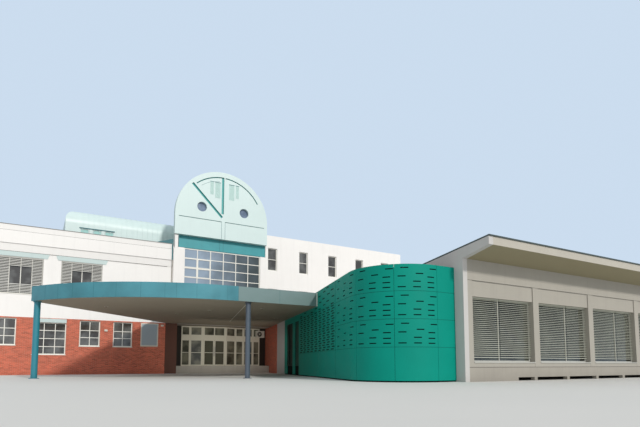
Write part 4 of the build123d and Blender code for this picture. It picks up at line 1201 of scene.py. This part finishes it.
def fan():
    """Blades at the bottom of the fan's recess, and a guard of rings and spokes over it."""
    low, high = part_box("air_conditioner")
    centre = Vector((low.x + FAN_SHARE * (high.x - low.x), low.y, (low.z + high.z) / 2))
    depth = FAN_RECESS * INWARD
    blades = Shape()
    blades.tube([centre + depth * share for share in DISC_DEPTHS], FAN_RADIUS - 2 * FAN_CLEAR, 40)
    piece("fan_disc", blades, "black_metal")
    guard = Shape()
    middle = centre + depth * GUARD_DEPTH
    for radius in GUARD_RINGS:
        guard.strip(arc_points(middle, RIGHT, UP, radius, 0, 360, 32), INWARD, *GUARD_WIRE)
    for tip in arc_points(middle, RIGHT, UP, FAN_RADIUS - FAN_CLEAR, 0, 360, GUARD_SPOKES)[:-1]:
        guard.tube([middle, tip], SPOKE_RADIUS, 6)
    guard.tube([centre + depth * share for share in HUB_DEPTHS], HUB_RADIUS, 24)
    piece("fan_guard", guard, "casing")


door_pulls()
fan()


# Pavilion: joints of the wall panels, sills, and the dark line over the base beam

PANEL_TOP = 4.17
PANEL_LINE = 0.008
BASE_TOP = 0.59
PANEL_JOINT = (-0.002, 0.010)
PAVILION_SILL = (-0.22, 0.03)
PAVILION_SILL_TOP = 0.01


def pavilion_details():
    """Lines and sills of the pavilion's front wall."""
    low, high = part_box("pavilion_front_wall")
    wall = Wall(low)
    lines = Shape()
    sills = Shape()
    width = high.x - low.x
    wall.block(lines, (0, width), FLUSH, around(BASE_TOP, LINE_HALF))
    wall.block(lines, (0, width), FLUSH, around(PANEL_TOP, PANEL_LINE))
    for left, right, sill, head in openings_on(wall, width, ("pavilion_window_frames",)):
        joint = (right + PANEL_JOINT[0], right + PANEL_JOINT[1])
        wall.block(lines, joint, FLUSH, (BASE_TOP, PANEL_TOP))
        wall.block(sills, (left, right), PAVILION_SILL, (sill - SILL_LAP, sill + PAVILION_SILL_TOP))
    piece("pavilion_lines", lines, "line_grey")
    piece("pavilion_sills", sills, "pavilion_frame")


pavilion_details()


# Camera, floor and light

def set_camera():
    data = bpy.data.cameras.new("camera")
    data.sensor_width = SENSOR
    data.lens = FOCAL_PIXELS * SENSOR / PHOTO_WIDTH
    data.shift_y = LENS_SHIFT
    data.clip_end = VIEW_REACH
    made = add_object("camera", data)
    made.location = plan(EYE_RIGHT, EYE_IN, EYE_HEIGHT)
    made.rotation_euler = (math.radians(90 + PITCH), 0, math.radians(-HEADING))
    bpy.context.scene.camera = made


def set_floor():
    mesh = bpy.data.meshes.new("floor")
    corners = [(x * FLOOR_REACH, y * FLOOR_REACH, 0) for x, y in ((-1, -1), (1, -1), (1, 1), (-1, 1))]
    mesh.from_pydata(corners, [], [(0, 1, 2, 3)])
    mesh.materials.append(looks["pale_floor"])
    floor = add_object("floor", mesh)


def add_light(name, kind, strength, direction, tint):
    """Light that shines in a direction."""
    data = bpy.data.lights.new(name, kind)
    data.energy = strength
    data.color = tint
    made = add_object(name, data)
    made.rotation_euler = Vector(direction).to_track_quat("-Z", "Y").to_euler()
    return made


def light_porch():
    """Wide soft panel under the canopy, unseen, that faces the entrance."""
    panel = add_light("porch", "AREA", *PORCH)
    panel.data.shape = "RECTANGLE"
    panel.data.size, panel.data.size_y = PORCH_SIZE
    panel.data.spread = math.radians(PORCH_SPREAD)
    panel.location = plan(*PORCH_PLACE)
    panel.visible_camera = False
    panel.visible_glossy = False


def set_light():
    """Lamps, and a sky that looks brighter than its light."""
    sun = add_light("sun", "SUN", *SUN)
    sun.data.angle = math.radians(SUN_ANGLE)
    sky_fill = add_light("fill", "SUN", *FILL)
    sky_fill.data.angle = math.radians(FILL_ANGLE)
    light_porch()
    world = bpy.data.worlds.new("sky")
    bpy.context.scene.world = world
    world.use_nodes = True
    tree = world.node_tree
    tree.nodes.clear()
    path = node(tree, "LightPath", {})
    seen = maths(tree, "MAXIMUM", path.outputs["Is Camera Ray"], path.outputs["Is Glossy Ray"])
    seen = maths(tree, "MAXIMUM", seen, path.outputs["Is Transmission Ray"])
    light = node(tree, "Background", {"Color": SKY_TINT, "Strength": SKY_LIGHT})
    shown = node(tree, "Background", {"Color": SKY_SHOWN, "Strength": 1.0})
    mixed = node(tree, "MixShader", {0: seen, 1: light.outputs[0], 2: shown.outputs[0]})
    node(tree, "OutputWorld", {"Surface": mixed.outputs[0]})


set_camera()
set_floor()
set_light()
bpy.context.scene.view_settings.view_transform = "Standard"
